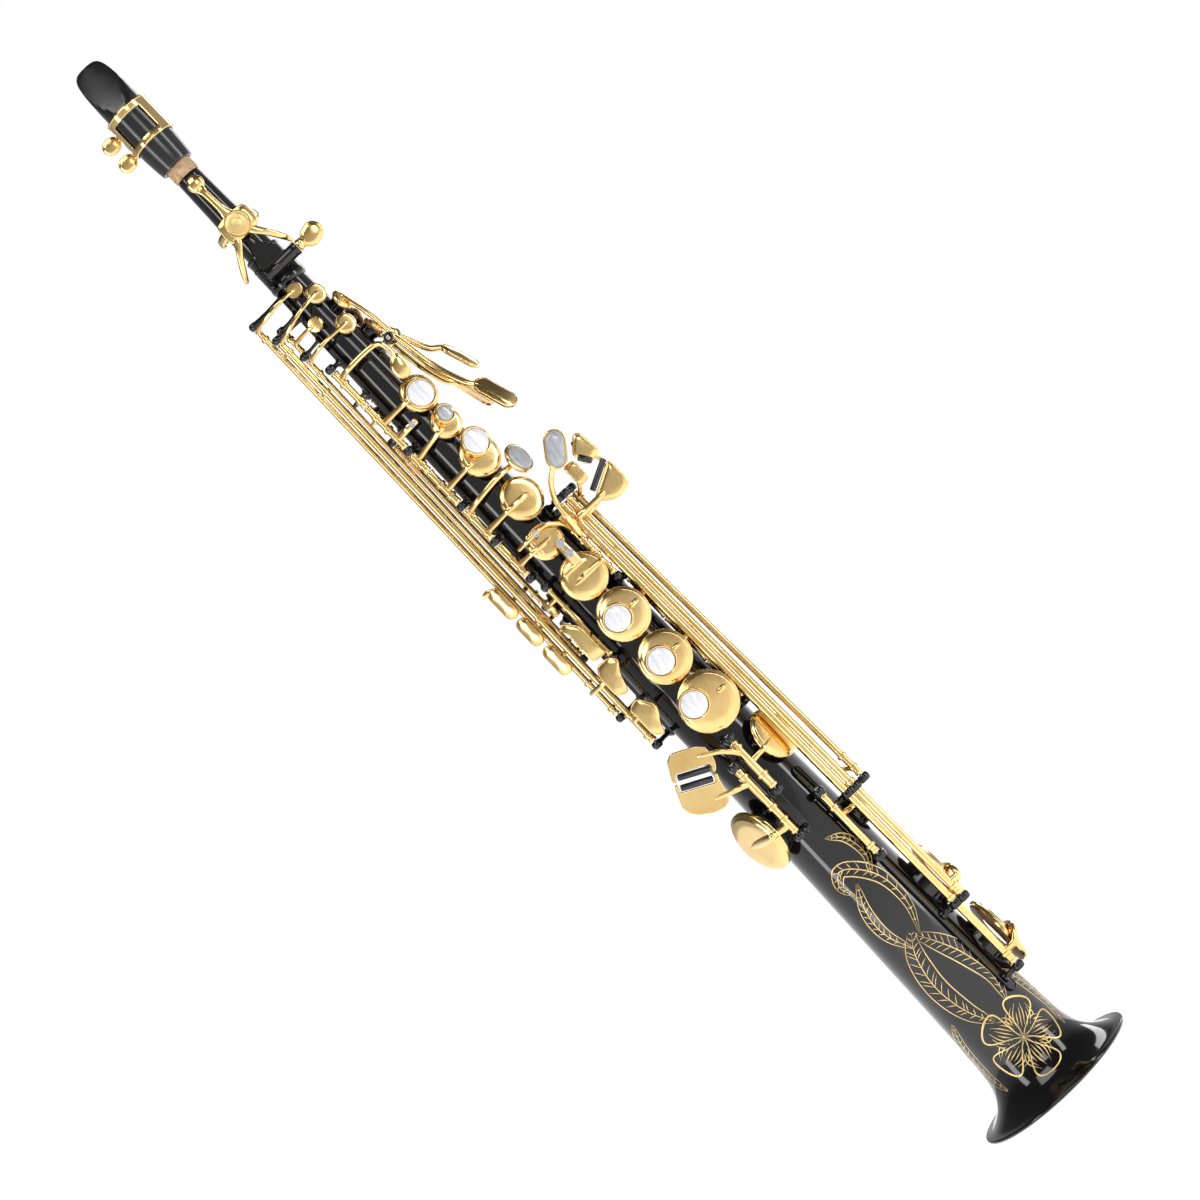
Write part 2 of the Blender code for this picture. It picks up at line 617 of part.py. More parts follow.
def make_lower_stack():
    line = LOWER_STACK_LINE
    make_stack_key("d_key", line, 247.8, 272.0, D_CUP, 258, (262, -1, 8.2), inset=0.6)
    make_stack_key("e_key", line, 272.6, 302.0, E_CUP, 288.5, (288.5, 5, 8.2), inset=0.5, width=1.0)
    make_stack_key("f_key", line, 302.6, 329.0, F_CUP, 319, (318.4, 3.4, 8.0), inset=0.52, width=1.0)
    tail = wire([cup_top(F_SHARP_CUP, 0.4), at(344.5, -3, cup_rho(F_SHARP_CUP) + 0.4)], 1.2)
    make_stack_key("f_sharp_key", FRONT_LINE, 336.0, 350.4, F_SHARP_CUP, 344.5, None, [tail])


def make_g_sharp():
    line = FRONT_LINE
    reach = [(17.4, -18.8, 362), (19.4, -20, 380), (24, -19.2, 389), (31, -17.9, 395)]
    pieces = [wire([on(line, 361)] + reach, 1.3)]
    pieces.append(plate(rounded(20, 11.4), 1.8, (37.5, -18.5, 400), (0, -1, 0), (12, 0, 16)))
    across = [(13.5, -20, 372), (7, -24.8, 376.5), (-3, -25.8, 376.5), (-10, -21.6, 376.5)]
    pieces.append(wire([on(line, 366)] + across, 1.1))
    key("g_sharp_lever", line, 351.0, 374.2, pieces)
    seat = plate(rounded(17.6, 9.2), 1.5, (37.5, -18.5 - 0.9 - GAP - 0.75, 400), (0, -1, 0), (12, 0, 16))
    fuse("g_sharp_pearl", PEARL, [seat], origin=(37.5, -19.5, 400))
    tail = wire([cup_top(G_SHARP_CUP, 0.3), at(375, 5, cup_rho(G_SHARP_CUP) + 0.2)], 0.9)
    make_stack_key("g_sharp_key", UPPER_STACK_LINE, 365.0, 385.6, G_SHARP_CUP, 371, None, [tail])


def make_upper_stack():
    line = UPPER_STACK_LINE
    make_g_key(line)
    make_stack_key("a_key", line, 414.4, 435.6, A_CUP, 423, (430.2, 29, 8.0))
    make_stack_key("bis_key", line, 436.2, 447.6, BIS_CUP, 444, (450.6, 26, 5.4))
    make_stack_key("b_key", line, 452.4, 480.0, B_CUP, 468.5, (466, 22, 8.2))
    drop = [(490, 13), (488, 8), (483, 5.4), (478, 6), (475.6, 10), (478, 14), (483, 15), (488, 14.6)]
    arm = [on(line, 499), (-9, -19.5, 499.5), (6, -21.5, 499), (12, -21.2, 496), (12.5, -21, 489)]
    key("front_f_lever", line, 480.6, 503.8, [wire(arm, 1.2), slanted(drop, -21, 2.0)])


def make_g_key(line):
    z, deg, rho, radius = 409.5, 54, 27.0, 8.4
    arm = wire([on(line, 407), (-9, -21, 408), (6, -24, z), (17, -17.5, z)], 1.2)
    seat = [holder(z, deg, rho, radius), arm]
    pearl("g_pearl", z, deg, rho, radius - PEARL_RIM)
    make_stack_key("g_key", line, 390.4, 409.6, G_CUP, 394, None, seat)


# ---- side and high keys ----

def side_touch(z, length, x=-34.5, y=-6.0):
    return plate(rounded(length, 6.5, 4), 1.8, (x, y, z), (-0.45, -0.89, 0), (0, 0, 1))


def make_side_keys():
    line = SIDE_E_LINE
    reach = [on(line, 324), (-28.4, -3.4, 324), (-34, -4.8, 324)]
    over = [on(line, 516), (-19, -10, 516.5), (-10, -18.4, 517.2), cup_top(SIDE_E_CUP, 0.3)]
    key("side_e_key", line, 317.9, 519.0,
        [wire(reach, 1.0), side_touch(324, 18), pad_cup(SIDE_E_CUP), wire(over, 1.0)])
    line = SIDE_C_LINE
    reach = [on(line, 341.4), (-24, 17, 341.4), (-34.5, 6, 342), (-36, -4.4, 343.5)]
    over = [on(line, 474), (-19.4, 12.4, 474), cup_top(SIDE_C_CUP, 0.3)]
    key("side_c_key", line, 338.2, 484.0,
        [wire(reach, 1.0), side_touch(343.6, 17), pad_cup(SIDE_C_CUP), wire(over, 1.0)])
    line = SIDE_BB_LINE
    reach = [on(line, 360), (-28, 9.4, 361), (-35, 4, 362), (-36, -4.4, 363)]
    over = [on(line, 447), cup_top(SIDE_BB_CUP, 0.5)]
    key("side_b_flat_key", line, 350.0, 458.2,
        [wire(reach, 1.0), side_touch(363, 19), pad_cup(SIDE_BB_CUP), wire(over, 1.0)])


def make_high_keys():
    line = HIGH_F_SHARP_LINE
    touch = slanted(HIGH_F_SHARP_TOUCH, -21.5, 1.8)
    reach = wire([on(line, 276), (-26.5, -15, 276), (-22, -21, 276)], 1.2)
    over = wire([on(line, 531), (-19.5, -16, 533.6), (-6, -20.4, 536.5), cup_top(HIGH_F_SHARP_CUP, 0.3)], 1.0)
    key("high_f_sharp_key", line, 261.8, 533.2, [touch, reach, pad_cup(HIGH_F_SHARP_CUP), over])
    line = HIGH_G_LINE
    touch = slanted(HIGH_G_TOUCH, -21.5, 1.8)
    reach = wire([on(line, 300), (-33.5, -8, 300), (-28.6, -17.5, 300), (-22, -21.2, 300)], 1.2)
    over = wire([on(line, 545.5), (-26, -12, 546), (-12, -19, 546.8), cup_top(HIGH_G_CUP, 0.3)], 1.0)
    key("high_g_key", line, 283.8, 547.2, [touch, reach, pad_cup(HIGH_G_CUP), over])
    line = TRILL_LINE
    touch = slanted(TRILL_TOUCH, -20.5, 1.8)
    reach = wire([on(line, 322), (-14.5, -19.6, 322), (-18, -20.4, 322)], 1.2)
    over = wire([on(line, 347), (-17.6, -13, 346.4), cup_top(TRILL_CUP, 0.3)], 1.0)
    key("f_sharp_trill_key", line, 307.8, 352.2, [touch, reach, pad_cup(TRILL_CUP), over])


def make_octave_keys():
    line = BODY_OCTAVE_LINE
    over = [on(line, 529), (-18.4, -4, 528.6), (-12.4, -13.4, 528), (-7.6, -16.4, 527.6),
            cup_top(BODY_OCTAVE_CUP, 0.2)]
    key("body_octave_key", line, 523.9, 536.2, [wire(over, 0.9), pad_cup(BODY_OCTAVE_CUP)])
    line = THUMB_OCTAVE_LINE
    touch = plate(rounded(22, 12, 4), 2.0, (-3.5, 22.4, 452), (0, 1, 0), (0, 0, 1))
    pieces = [touch, wire([on(line, 456), (5, 21.4, 456), (0, 22.2, 455)], 1.4)]
    pieces.append(wire([on(line, 470), (13.4, 15.6, 475)], 1.1))
    key("thumb_octave_lever", line, 446.2, 474.0, pieces)


# ---- palm keys: rockers across the tube ----

PALM_Z = 498.0
PALM_RHO = 20.0
PALM_HALF = 2.9


def palm_line(deg):
    """Middle and direction of a palm key's short hinge tube, which lies across the main tube."""
    across = Vector((math.cos(math.radians(deg)), math.sin(math.radians(deg)), 0))
    return at(PALM_Z, deg, PALM_RHO), across


def make_palm_key(name, cup, leaf_z, leaf_rho, mid, leaf_length=22):
    """Rocker: the leaf at its low end is pressed in and the cup at its high end rises."""
    centre, across = palm_line(cup.deg)
    tube = rod(centre - across * PALM_HALF, centre + across * PALM_HALF, 2.2, 12)
    points = [at(leaf_z + 6, cup.deg, leaf_rho - 1)] + [at(z, cup.deg, rho) for z, rho in mid] + [centre]
    points += [at((PALM_Z + cup.z) / 2, cup.deg, PALM_RHO - 1.0), cup_top(cup, 0.3)]
    lean = Vector((0, 0, 1)) - radial(cup.deg) * 0.3
    face = (radial(cup.deg) + Vector((0, 0, 0.3))).normalized()
    leaf = plate(rounded(leaf_length, 10, 4), 2.0, at(leaf_z, cup.deg, leaf_rho), face, lean)
    fuse(name, GOLD, [tube, wire(points, 1.5), leaf, pad_cup(cup)], origin=centre)


def make_palm_keys():
    make_palm_key("palm_f_key", PALM_F_CUP, 441, 39, [(456, 31), (472, 25)])
    make_palm_key("palm_d_key", PALM_D_CUP, 468, 36, [(482, 27)], 20)
    make_palm_key("palm_e_flat_key", PALM_EB_CUP, 452, 37, [(466, 29), (480, 24)])


def make_palm_rib():
    ring = [at(PALM_Z, deg, tube_radius(PALM_Z) + GAP + 1.3) for deg in range(48, 154, 10)]
    pieces = [wire(ring, 1.2)]
    for cup in (PALM_F_CUP, PALM_D_CUP, PALM_EB_CUP):
        centre, across = palm_line(cup.deg)
        for side in (-1, 1):
            inner = centre + across * side * (PALM_HALF + 0.35)
            outer = inner + across * side * 1.8
            pieces.append(rod(inner, outer, 2.4, 8))
            turn = cup.deg + side * 17
            pieces.append(rod(at(PALM_Z, turn, tube_radius(PALM_Z) + 1.4), (inner + outer) / 2, 0.8, 8))
    fuse("palm_rib", BLACK, pieces)


# ---- back of the tube ----

def make_back_pieces():
    deg = 158
    pieces = [rib_bar(440, 480, deg, 4.0)]
    pieces += post(443.6, deg, THUMB_OCTAVE_LINE, head=2.4) + post(476.6, deg, THUMB_OCTAVE_LINE, head=2.4)
    fuse("octave_rib", BLACK, pieces)
    z = 424.0
    base = at(z, 184, tube_radius(z) + GAP)
    outward = radial(184)
    disc = [(0, 5.2), (6.2, 4.6), (7.4, 3.6), (7.4, 2.6), (3.0, 2.2), (3.0, 0), (0, 0)]
    fuse("thumb_rest", EBONITE, [turned(disc, base + outward * 0.3, outward, 20)])
    z = 330.0
    base = at(z, 180, tube_radius(z) + GAP + 0.9)
    hook = [base + Vector(step) for step in ((0, 0, 0), (0, 6, 2), (-1, 15, 8), (-3, 24, 6))]
    foot = bar(base - Vector((0, 0, 13)), base + Vector((0, 0, 13)), 6.0, 1.6, (0, 1, 0))
    fuse("thumb_hook", GOLD, [foot, wire(hook, 2.6, 2)])
    make_strap_ring(376.0)


def make_strap_ring(z):
    base = at(z, 180, tube_radius(z) + GAP + 0.8)
    foot = bar(base - Vector((0, 0, 9)), base + Vector((0, 0, 9)), 6.0, 1.4, (0, 1, 0))
    centre = base + Vector((0, 7.0, 0))
    ring = [centre + Vector((0, 5.6 * math.cos(a), 5.6 * math.sin(a)))
            for a in (math.tau * i / 14 + math.pi for i in range(14))]
    curve = bpy.data.curves.new("ring", "CURVE")
    curve.dimensions = "3D"
    curve.bevel_depth = 1.3 * MM
    curve.bevel_resolution = 1
    spline = curve.splines.new("POLY")
    spline.points.add(len(ring) - 1)
    spline.use_cyclic_u = True
    for place, point in zip(spline.points, ring):
        place.co = (*(point * MM), 1)
    fuse("strap_ring", GOLD, [foot, to_mesh(working_object(curve))])


# ---- receiver, neck and mouthpiece ----

def make_neck_parts():
    profile = [(9.9, 574.0), (10.0, 555.0), (9.6, 551.8), (tube_radius(551.8) + 0.35, 551.8),
               (tube_radius(551.8) + 0.35, 566.0), (8.7, 566.6), (8.7, 574.0)]
    shell = turned(profile, (0, 0, 0), (0, 0, 1), 24, closed=True)
    lug = rod((-6.5, -12.2, 561.5), (15.0, -12.2, 561.5), 3.6, 16)
    web = bar((-6, -11.2, 561.5), (8, -11.2, 561.5), 6.0, 3.2, (0, 1, 0))
    bore = rod((-5.5, -12.2, 561.5), (16, -12.2, 561.5), 1.6, 12)
    fuse("neck_receiver", BLACK, [shell, web, lug], [bore])
    shank = rod((-4.5, -12.2, 561.5), (21.5, -12.2, 561.5), 1.25, 12)
    collar = rod((15.4, -12.2, 561.5), (19.4, -12.2, 561.5), 3.2, 16)
    head = plate(rounded(13, 10.6, 5), 3.4, (24.6, -12.2, 561.5), (0, -1, 0), (1, 0, 0))
    fuse("neck_screw", GOLD, [shank, collar, head])
    neck = [(5.5, 648.0), (5.6, 626.6), (6.6, 625.0), (7.2, 604.0), (8.2, 580.0), (8.2, 566.8), (7.0, 566.8),
            (6.9, 580.0), (5.9, 604.0), (4.7, 626.0), (4.5, 648.0)]
    fuse("neck_tube", BLACK, [turned(neck, (0, 0, 0), (0, 0, 1), 20, closed=True),
                              rod((0, -6.4, 618.6), (0, -8.6, 618.6), 2.4, 10)] +
         [rod((side * 7.0, -1, OCTAVE_PIVOT_Z), (side * 9.6, -1, OCTAVE_PIVOT_Z), 1.3, 10) for side in (-1, 1)],
         [rod((0, -3.2, 618.6), (0, -10, 618.6), 1.2, 10)])
    cork = [(7.1, 647.4), (7.2, 627.6), (6.0, 627.2), (5.9, 647.4)]
    fuse("neck_cork", CORK, [turned(cork, (0, 0, 0), (0, 0, 1), 20, closed=True)])


def make_mouthpiece():
    outer = [(9.4, 703.0), (9.9, 690.0), (10.3, 672.0), (10.6, 650.0), (10.0, 640.0), (9.2, 634.0)]
    bore = [(7.55, 634.0), (7.5, 650.0), (6.6, 662.0), (6.6, 684.0), (2.0, 699.0), (0, 699.0)]
    profile = [(0, 703.0)] + outer + bore
    body = turned(profile, (0, 0, 0), (0, 0, 1), 24)
    table = bar((0, 13.8, 640), (0, 13.8, 705), 30, 12.0, (0, 1, 0))
    window = bar((0, 8, 664), (0, 8, 699), 9.0, 9.0, (0, 1, 0))
    beak_top = bar((0, -20.6, 660), (0, -1.6, 716), 40, 14.0, (0, -1, 0.34))
    fuse("mouthpiece", EBONITE, [body], [table, window, beak_top])


def make_reed():
    thick = 2.0
    width = 11.4
    back = 7.8 + GAP
    body = bar((0, back + thick / 2, 641), (0, back + thick / 2, 672), width, thick, (0, 1, 0))
    wedge = [(-1, 0), (31.4, 0), (31.4, -0.3), (-1, -thick)]
    blade = plate(wedge, width - 0.1, (0, back, 671.6), (1, 0, 0), (0, 0, 1))
    fuse("reed", CANE, [body, blade])


LIGATURE_Y = 0.5
EAR_Y = 14.4


def make_ligature():
    ring = [(12.1, 672.0), (12.1, 650.5), (11.4, 650.5), (11.4, 672.0)]
    shell = turned(ring, (0, LIGATURE_Y, 0), (0, 0, 1), 28, closed=True)
    window = bar((-1.5, -12, 654), (-1.5, -12, 668), 17.0, 12.0, (0, -1, 0))
    slot = bar((0, 12.6, 648), (0, 12.6, 675), 2.6, 6.0, (0, 1, 0))
    ears, holes = [], []
    for z in (655.0, 667.0):
        for side in (-1, 1):
            ears.append(rod((side * 1.8, EAR_Y, z), (side * 3.6, EAR_Y, z), 2.8, 12))
        holes.append(rod((-6, EAR_Y, z), (6, EAR_Y, z), 1.3, 10))
    fuse("ligature", GOLD, [shell] + ears, [window, slot] + holes)
    for name, z in (("ligature_screw_lower", 655.0), ("ligature_screw_upper", 667.0)):
        shank = rod((4.6, EAR_Y, z), (-10.4, EAR_Y, z), 0.95, 10)
        collar = rod((-9.6, EAR_Y, z), (-13.0, EAR_Y, z), 2.2, 12)
        head = plate(rounded(10.2, 8.4, 5), 2.1, (-17.3, EAR_Y, z), (0, -1, 0), (1, 0, 0))
        fuse(name, GOLD, [shank, collar, head], origin=(4.6, EAR_Y, z))


def make_neck_octave_key():
    """Rocker on two studs of the neck: pad cup in front, fork below that the body's mechanism lifts."""
    front = -13.4
    cup = rod((0, -9.4, 618.6), (0, -11.9, 618.6), 4.4, 14)
    arms = []
    for side in (-1, 1):
        lug = side * 11.2
        arms.append(wire([(side * 6, front, OCTAVE_PIVOT_Z), (side * 9.6, -10, OCTAVE_PIVOT_Z),
                          (lug, -6, OCTAVE_PIVOT_Z), (lug, -1, OCTAVE_PIVOT_Z)], 1.2))
        arms.append(rod((side * 10.0, -1, OCTAVE_PIVOT_Z), (side * 12.2, -1, OCTAVE_PIVOT_Z), 2.6, 10))
        arms.append(wire([(side * 4, front, 585), (side * 9, -12.4, 577), (side * 14.6, -6.5, 569)], 1.3))
    shield = slanted([(597, 0), (593, 7), (587, 7), (581, 4), (581, -4), (587, -7), (593, -7)], front, 2.0)
    stem = wire([(0, front, 596), (0, -13.8, 612), (0, -12.4, 618.6)], 1.7)
    fuse("neck_octave_key", GOLD, [shield, stem, cup] + arms, origin=(0, -1, OCTAVE_PIVOT_Z))


def make_table_rollers():
    make_roller("eb_roller", (-16.4, FOOT_Y, 233.7), (-31.7, FOOT_Y, 241.5), 1.7)
    make_roller("low_c_roller", (-18.9, FOOT_Y, 229.1), (-34.1, FOOT_Y, 236.8), 1.7)
    make_roller("b_flat_roller", (51.8, TABLE_Y, 380.4), (36.4, TABLE_Y, 372.6), 1.6)


def main():
    make_body_tube()
    make_bell_key_rib()
    make_low_key_rib()
    make_lower_stack_rib()
    make_upper_stack_rib()
    make_side_rib()
    make_low_b_flat_key()
    make_low_b_key()
    make_low_c_sharp_lever()
    make_low_c_sharp_key()
    make_eb_key()
    make_low_c_key()
    make_table_rollers()
    make_lower_stack()
    make_g_sharp()
    make_upper_stack()
    make_side_keys()
    make_high_keys()
    make_octave_keys()
    make_palm_keys()
    make_palm_rib()
    make_back_pieces()
    make_neck_parts()
    make_neck_octave_key()
    make_mouthpiece()
    make_reed()
    make_ligature()
    bpy.data.collections.remove(WORKING)


main()
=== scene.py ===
"""Looks of the soprano saxophone: fine surfaces, materials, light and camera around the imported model."""
import math
from collections import namedtuple

import bmesh
import bpy
from mathutils import Matrix, Vector


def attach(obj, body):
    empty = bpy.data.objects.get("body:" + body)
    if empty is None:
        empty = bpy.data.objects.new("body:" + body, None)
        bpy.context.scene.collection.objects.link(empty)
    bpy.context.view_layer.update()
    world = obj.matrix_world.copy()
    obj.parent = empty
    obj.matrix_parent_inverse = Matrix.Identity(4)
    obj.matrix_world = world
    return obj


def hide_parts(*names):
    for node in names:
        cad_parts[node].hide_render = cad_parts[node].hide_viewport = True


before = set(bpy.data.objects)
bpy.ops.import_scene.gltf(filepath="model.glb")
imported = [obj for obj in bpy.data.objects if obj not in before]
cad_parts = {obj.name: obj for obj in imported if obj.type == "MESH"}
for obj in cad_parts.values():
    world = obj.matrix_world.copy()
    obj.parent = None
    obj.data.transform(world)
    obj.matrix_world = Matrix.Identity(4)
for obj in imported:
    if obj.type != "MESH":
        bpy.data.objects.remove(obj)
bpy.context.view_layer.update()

MM = 0.001

# ---- sizes of the tube, the same as the CAD model's, in millimetres ----
TUBE_TOP = 565.0
WALL = 1.1
MOUTH_RADIUS = 25.4
TAPER = 0.030
FLARE = 21.0
FLARE_LENGTH = 8.0
GAP = 0.3
CHIMNEY = 2.6
OPEN_LIFT = 5.0
SHUT_LIFT = 3.0
CUP_THICK = 4.2
TABLE_Y = -14.5
FOOT_Y = -28.2
OCTAVE_PIVOT_Z = 590.0

Line = namedtuple("Line", "low high radius")
Cup = namedtuple("Cup", "z deg radius lift thick")

LOW_B_FLAT_LINE = Line((25.6, -19.5, 62), (20.8, -14.2, 378), 2.2)
LOW_B_LINE = Line((29.9, -20.0, 104), (25.4, -12.7, 378), 2.0)
LOW_C_SHARP_LINE = Line((35.0, -15.0, 180), (29.6, -6.5, 378), 1.75)
C_SHARP_PAD_LINE = Line((14.0, -21.2, 147), (14.0, -21.2, 185), 1.75)
EB_LINE = Line((0.0, -26.0, 206), (0.0, -26.0, 235), 2.2)
LOW_C_LINE = Line((-7.8, -25.6, 182), (-7.8, -25.6, 223), 2.0)
LOWER_STACK_LINE = Line((20.2, -10.1, 248), (20.2, -10.1, 328), 2.0)
FRONT_LINE = Line((16.2, -13.6, 336), (16.2, -13.6, 374), 1.9)
UPPER_STACK_LINE = Line((-15.5, -12.5, 365), (-15.5, -12.5, 504), 1.9)
HIGH_F_SHARP_LINE = Line((-27.5, -7.0, 262), (-24.5, -7.0, 533), 1.9)
HIGH_G_LINE = Line((-31.5, 1.0, 284), (-28.5, 1.0, 547), 1.5)
SIDE_E_LINE = Line((-24.5, 3.0, 318), (-20.5, 3.0, 519), 1.3)
SIDE_C_LINE = Line((-12.5, 20.0, 338), (-10.5, 17.5, 484), 1.5)
SIDE_BB_LINE = Line((-20.0, 12.5, 350), (-18.8, 11.6, 458), 1.5)
TRILL_LINE = Line((-13.0, -17.0, 308), (-13.0, -17.0, 352), 1.5)
BODY_OCTAVE_LINE = Line((-19.5, 6.0, 523), (-19.5, 6.0, 536), 1.5)
THUMB_OCTAVE_LINE = Line((9.0, 18.0, 446), (9.0, 18.0, 474), 1.6)

LOW_B_FLAT_CUP = Cup(73, 96, 20.0, 5.8, 5.0)
LOW_B_CUP = Cup(115, 94, 19.5, 5.8, 5.0)
C_SHARP_CUP = Cup(166, 92, 11.5, SHUT_LIFT, 3.2)
LOW_C_CUP = Cup(189.5, -61, 18.0, 5.8, 4.6)
EB_CUP = Cup(224, 50, 14.0, SHUT_LIFT, 3.2)
D_CUP = Cup(258, 13.5, 16.0, OPEN_LIFT, CUP_THICK)
E_CUP = Cup(288.5, 13.5, 14.0, OPEN_LIFT, CUP_THICK)
F_CUP = Cup(318, 13.5, 14.0, OPEN_LIFT, CUP_THICK)
F_SHARP_CUP = Cup(345, 11.0, 12.4, OPEN_LIFT, CUP_THICK)
G_SHARP_CUP = Cup(370.5, 7, 9.5, SHUT_LIFT, 3.4)
G_CUP = Cup(394, 25, 11.6, OPEN_LIFT, CUP_THICK)
A_CUP = Cup(423.5, 25, 11.0, OPEN_LIFT, CUP_THICK)
BIS_CUP = Cup(447, 24, 8.4, OPEN_LIFT, CUP_THICK)
B_CUP = Cup(467, 26, 10.0, OPEN_LIFT, CUP_THICK)
TRILL_CUP = Cup(345, -78, 5.6, SHUT_LIFT, 3.0)
SIDE_C_CUP = Cup(474, -108, 6.4, SHUT_LIFT, 3.0)
SIDE_BB_CUP = Cup(447, -95, 7.0, SHUT_LIFT, 3.0)
SIDE_E_CUP = Cup(517.5, 24, 5.6, SHUT_LIFT, 3.0)
HIGH_F_SHARP_CUP = Cup(538.5, 24, 5.6, SHUT_LIFT, 3.0)
HIGH_G_CUP = Cup(547, -5, 4.2, SHUT_LIFT, 3.0)
BODY_OCTAVE_CUP = Cup(527.5, -22, 4.2, SHUT_LIFT, 3.0)
PALM_F_CUP = Cup(528, 66, 6.0, SHUT_LIFT, 3.0)
PALM_D_CUP = Cup(508, 96, 6.4, SHUT_LIFT, 3.0)
PALM_EB_CUP = Cup(519, 130, 6.2, SHUT_LIFT, 3.0)

TONE_HOLES = (
    LOW_B_FLAT_CUP, LOW_B_CUP, C_SHARP_CUP, LOW_C_CUP, EB_CUP, D_CUP, E_CUP, F_CUP, F_SHARP_CUP,
    G_SHARP_CUP,
    G_CUP, A_CUP, BIS_CUP, B_CUP, TRILL_CUP, SIDE_C_CUP, SIDE_BB_CUP, SIDE_E_CUP, HIGH_F_SHARP_CUP,
    HIGH_G_CUP,
    BODY_OCTAVE_CUP, PALM_F_CUP, PALM_D_CUP, PALM_EB_CUP,
)


def tube_radius(z):
    return MOUTH_RADIUS - TAPER * z + FLARE * math.exp(-max(z, 0.0) / FLARE_LENGTH)


def radial(deg):
    return Vector((math.sin(math.radians(deg)), -math.cos(math.radians(deg)), 0))


def tangent(deg):
    return Vector((math.cos(math.radians(deg)), math.sin(math.radians(deg)), 0))


def at(z, deg, rho):
    return radial(deg) * rho + Vector((0, 0, z))


def on(line, z):
    low, high = Vector(line.low), Vector(line.high)
    return low + (high - low) * (z - low.z) / (high.z - low.z)


def along(line):
    return (Vector(line.high) - Vector(line.low)).normalized()


def outward_at(point):
    """Direction away from the tube's axis at a point."""
    flat = Vector((point[0], point[1], 0))
    return flat.normalized() if flat.length > 0.001 else Vector((0, -1, 0))


def turn_to(origin, axis, side=None):
    """Matrix that puts local Z along an axis, with local X near a side direction."""
    z_axis = Vector(axis).normalized()
    hint = Vector(side) if side else Vector((0, 0, 1)) if abs(z_axis.z) < 0.9 else Vector((1, 0, 0))
    y_axis = z_axis.cross(hint).normalized()
    x_axis = y_axis.cross(z_axis)
    return Matrix.Translation(Vector(origin)) @ Matrix((x_axis, y_axis, z_axis)).transposed().to_4x4()


# ---- materials ----

def new_material(name, colour, roughness, metallic=0.0, **sockets):
    made = bpy.data.materials.new(name)
    made.use_nodes = True
    shader = made.node_tree.nodes["Principled BSDF"]
    shader.inputs["Base Color"].default_value = (*colour, 1)
    shader.inputs["Roughness"].default_value = roughness
    shader.inputs["Metallic"].default_value = metallic
    for socket, value in sockets.items():
        shader.inputs[socket.replace("_", " ")].default_value = value
    return made


def add(made, kind, **settings):
    node = made.node_tree.nodes.new(kind)
    for name, value in settings.items():
        setattr(node, name, value)
    return node


def link(made, out_node, out, in_node, into):
    made.node_tree.links.new(out_node.outputs[out], in_node.inputs[into])


def noise(made, scale, detail=4.0, rough=0.55, stretch=(1, 1, 1)):
    """Noise over the piece's own coordinates, stretched along an axis for brushed or grained stuff."""
    where = add(made, "ShaderNodeTexCoord")
    mapping = add(made, "ShaderNodeMapping")
    mapping.inputs["Scale"].default_value = stretch
    pattern = add(made, "ShaderNodeTexNoise")
    pattern.inputs["Scale"].default_value = scale
    pattern.inputs["Detail"].default_value = detail
    pattern.inputs["Roughness"].default_value = rough
    link(made, where, "Object", mapping, "Vector")
    link(made, mapping, "Vector", pattern, "Vector")
    return pattern


def texture(made, kind, **values):
    """Pattern node on the piece's own coordinates."""
    pattern = add(made, kind)
    for name, value in values.items():
        pattern.inputs[name].default_value = value
    link(made, add(made, "ShaderNodeTexCoord"), "Object", pattern, "Vector")
    return pattern


def paint(made, source, socket, stops):
    """Colour the surface by a ramp on a pattern's output; the stops are (place, colour)."""
    node = add(made, "ShaderNodeValToRGB")
    band = node.color_ramp
    while len(band.elements) < len(stops):
        band.elements.new(0.5)
    for element, (place, colour) in zip(band.elements, stops):
        element.position = place
        element.color = (*colour, 1)
    link(made, source, socket, node, "Fac")
    link(made, node, "Color", made.node_tree.nodes["Principled BSDF"], "Base Color")


def spread(made, source, socket, low, high, into):
    """Map a pattern's 0..1 output to a range and send it to a shader socket."""
    node = add(made, "ShaderNodeMapRange")
    node.inputs["To Min"].default_value = low
    node.inputs["To Max"].default_value = high
    link(made, source, socket, node, "Value")
    link(made, node, "Result", made.node_tree.nodes["Principled BSDF"], into)


def bump(made, source, socket, distance, strength=0.5):
    node = add(made, "ShaderNodeBump")
    node.inputs["Distance"].default_value = distance
    node.inputs["Strength"].default_value = strength
    link(made, source, socket, node, "Height")
    link(made, node, "Normal", made.node_tree.nodes["Principled BSDF"], "Normal")


def gold_material(name, light, dark, roughness=0.17):
    """Lacquered brass: warm tone drifting slowly, with fine polishing haze."""
    made = new_material(name, light, roughness, 1.0, Coat_Weight=0.6, Coat_Roughness=0.06, Coat_IOR=1.5)
    drift = noise(made, 60.0, 3.0)
    paint(made, drift, "Fac", [(0.3, dark), (0.65, light)])
    haze = noise(made, 900.0, 5.0, 0.6, (1, 1, 0.25))
    spread(made, haze, "Fac", roughness - 0.06, roughness + 0.1, "Roughness")
    bump(made, haze, "Fac", 0.00001, 0.25)
    return made


def black_lacquer():
    """Gloss black lacquer with faint orange peel and dust-fine haze."""
    made = new_material("black_lacquer", (0.004, 0.004, 0.005), 0.08, 0.0, Coat_Weight=0.7,
                        Coat_Roughness=0.03, Specular_IOR_Level=0.25)
    haze = noise(made, 260.0, 6.0, 0.65)
    spread(made, haze, "Fac", 0.05, 0.16, "Roughness")
    peel = noise(made, 420.0, 2.0, 0.5)
    bump(made, peel, "Fac", 0.00003, 0.12)
    return made


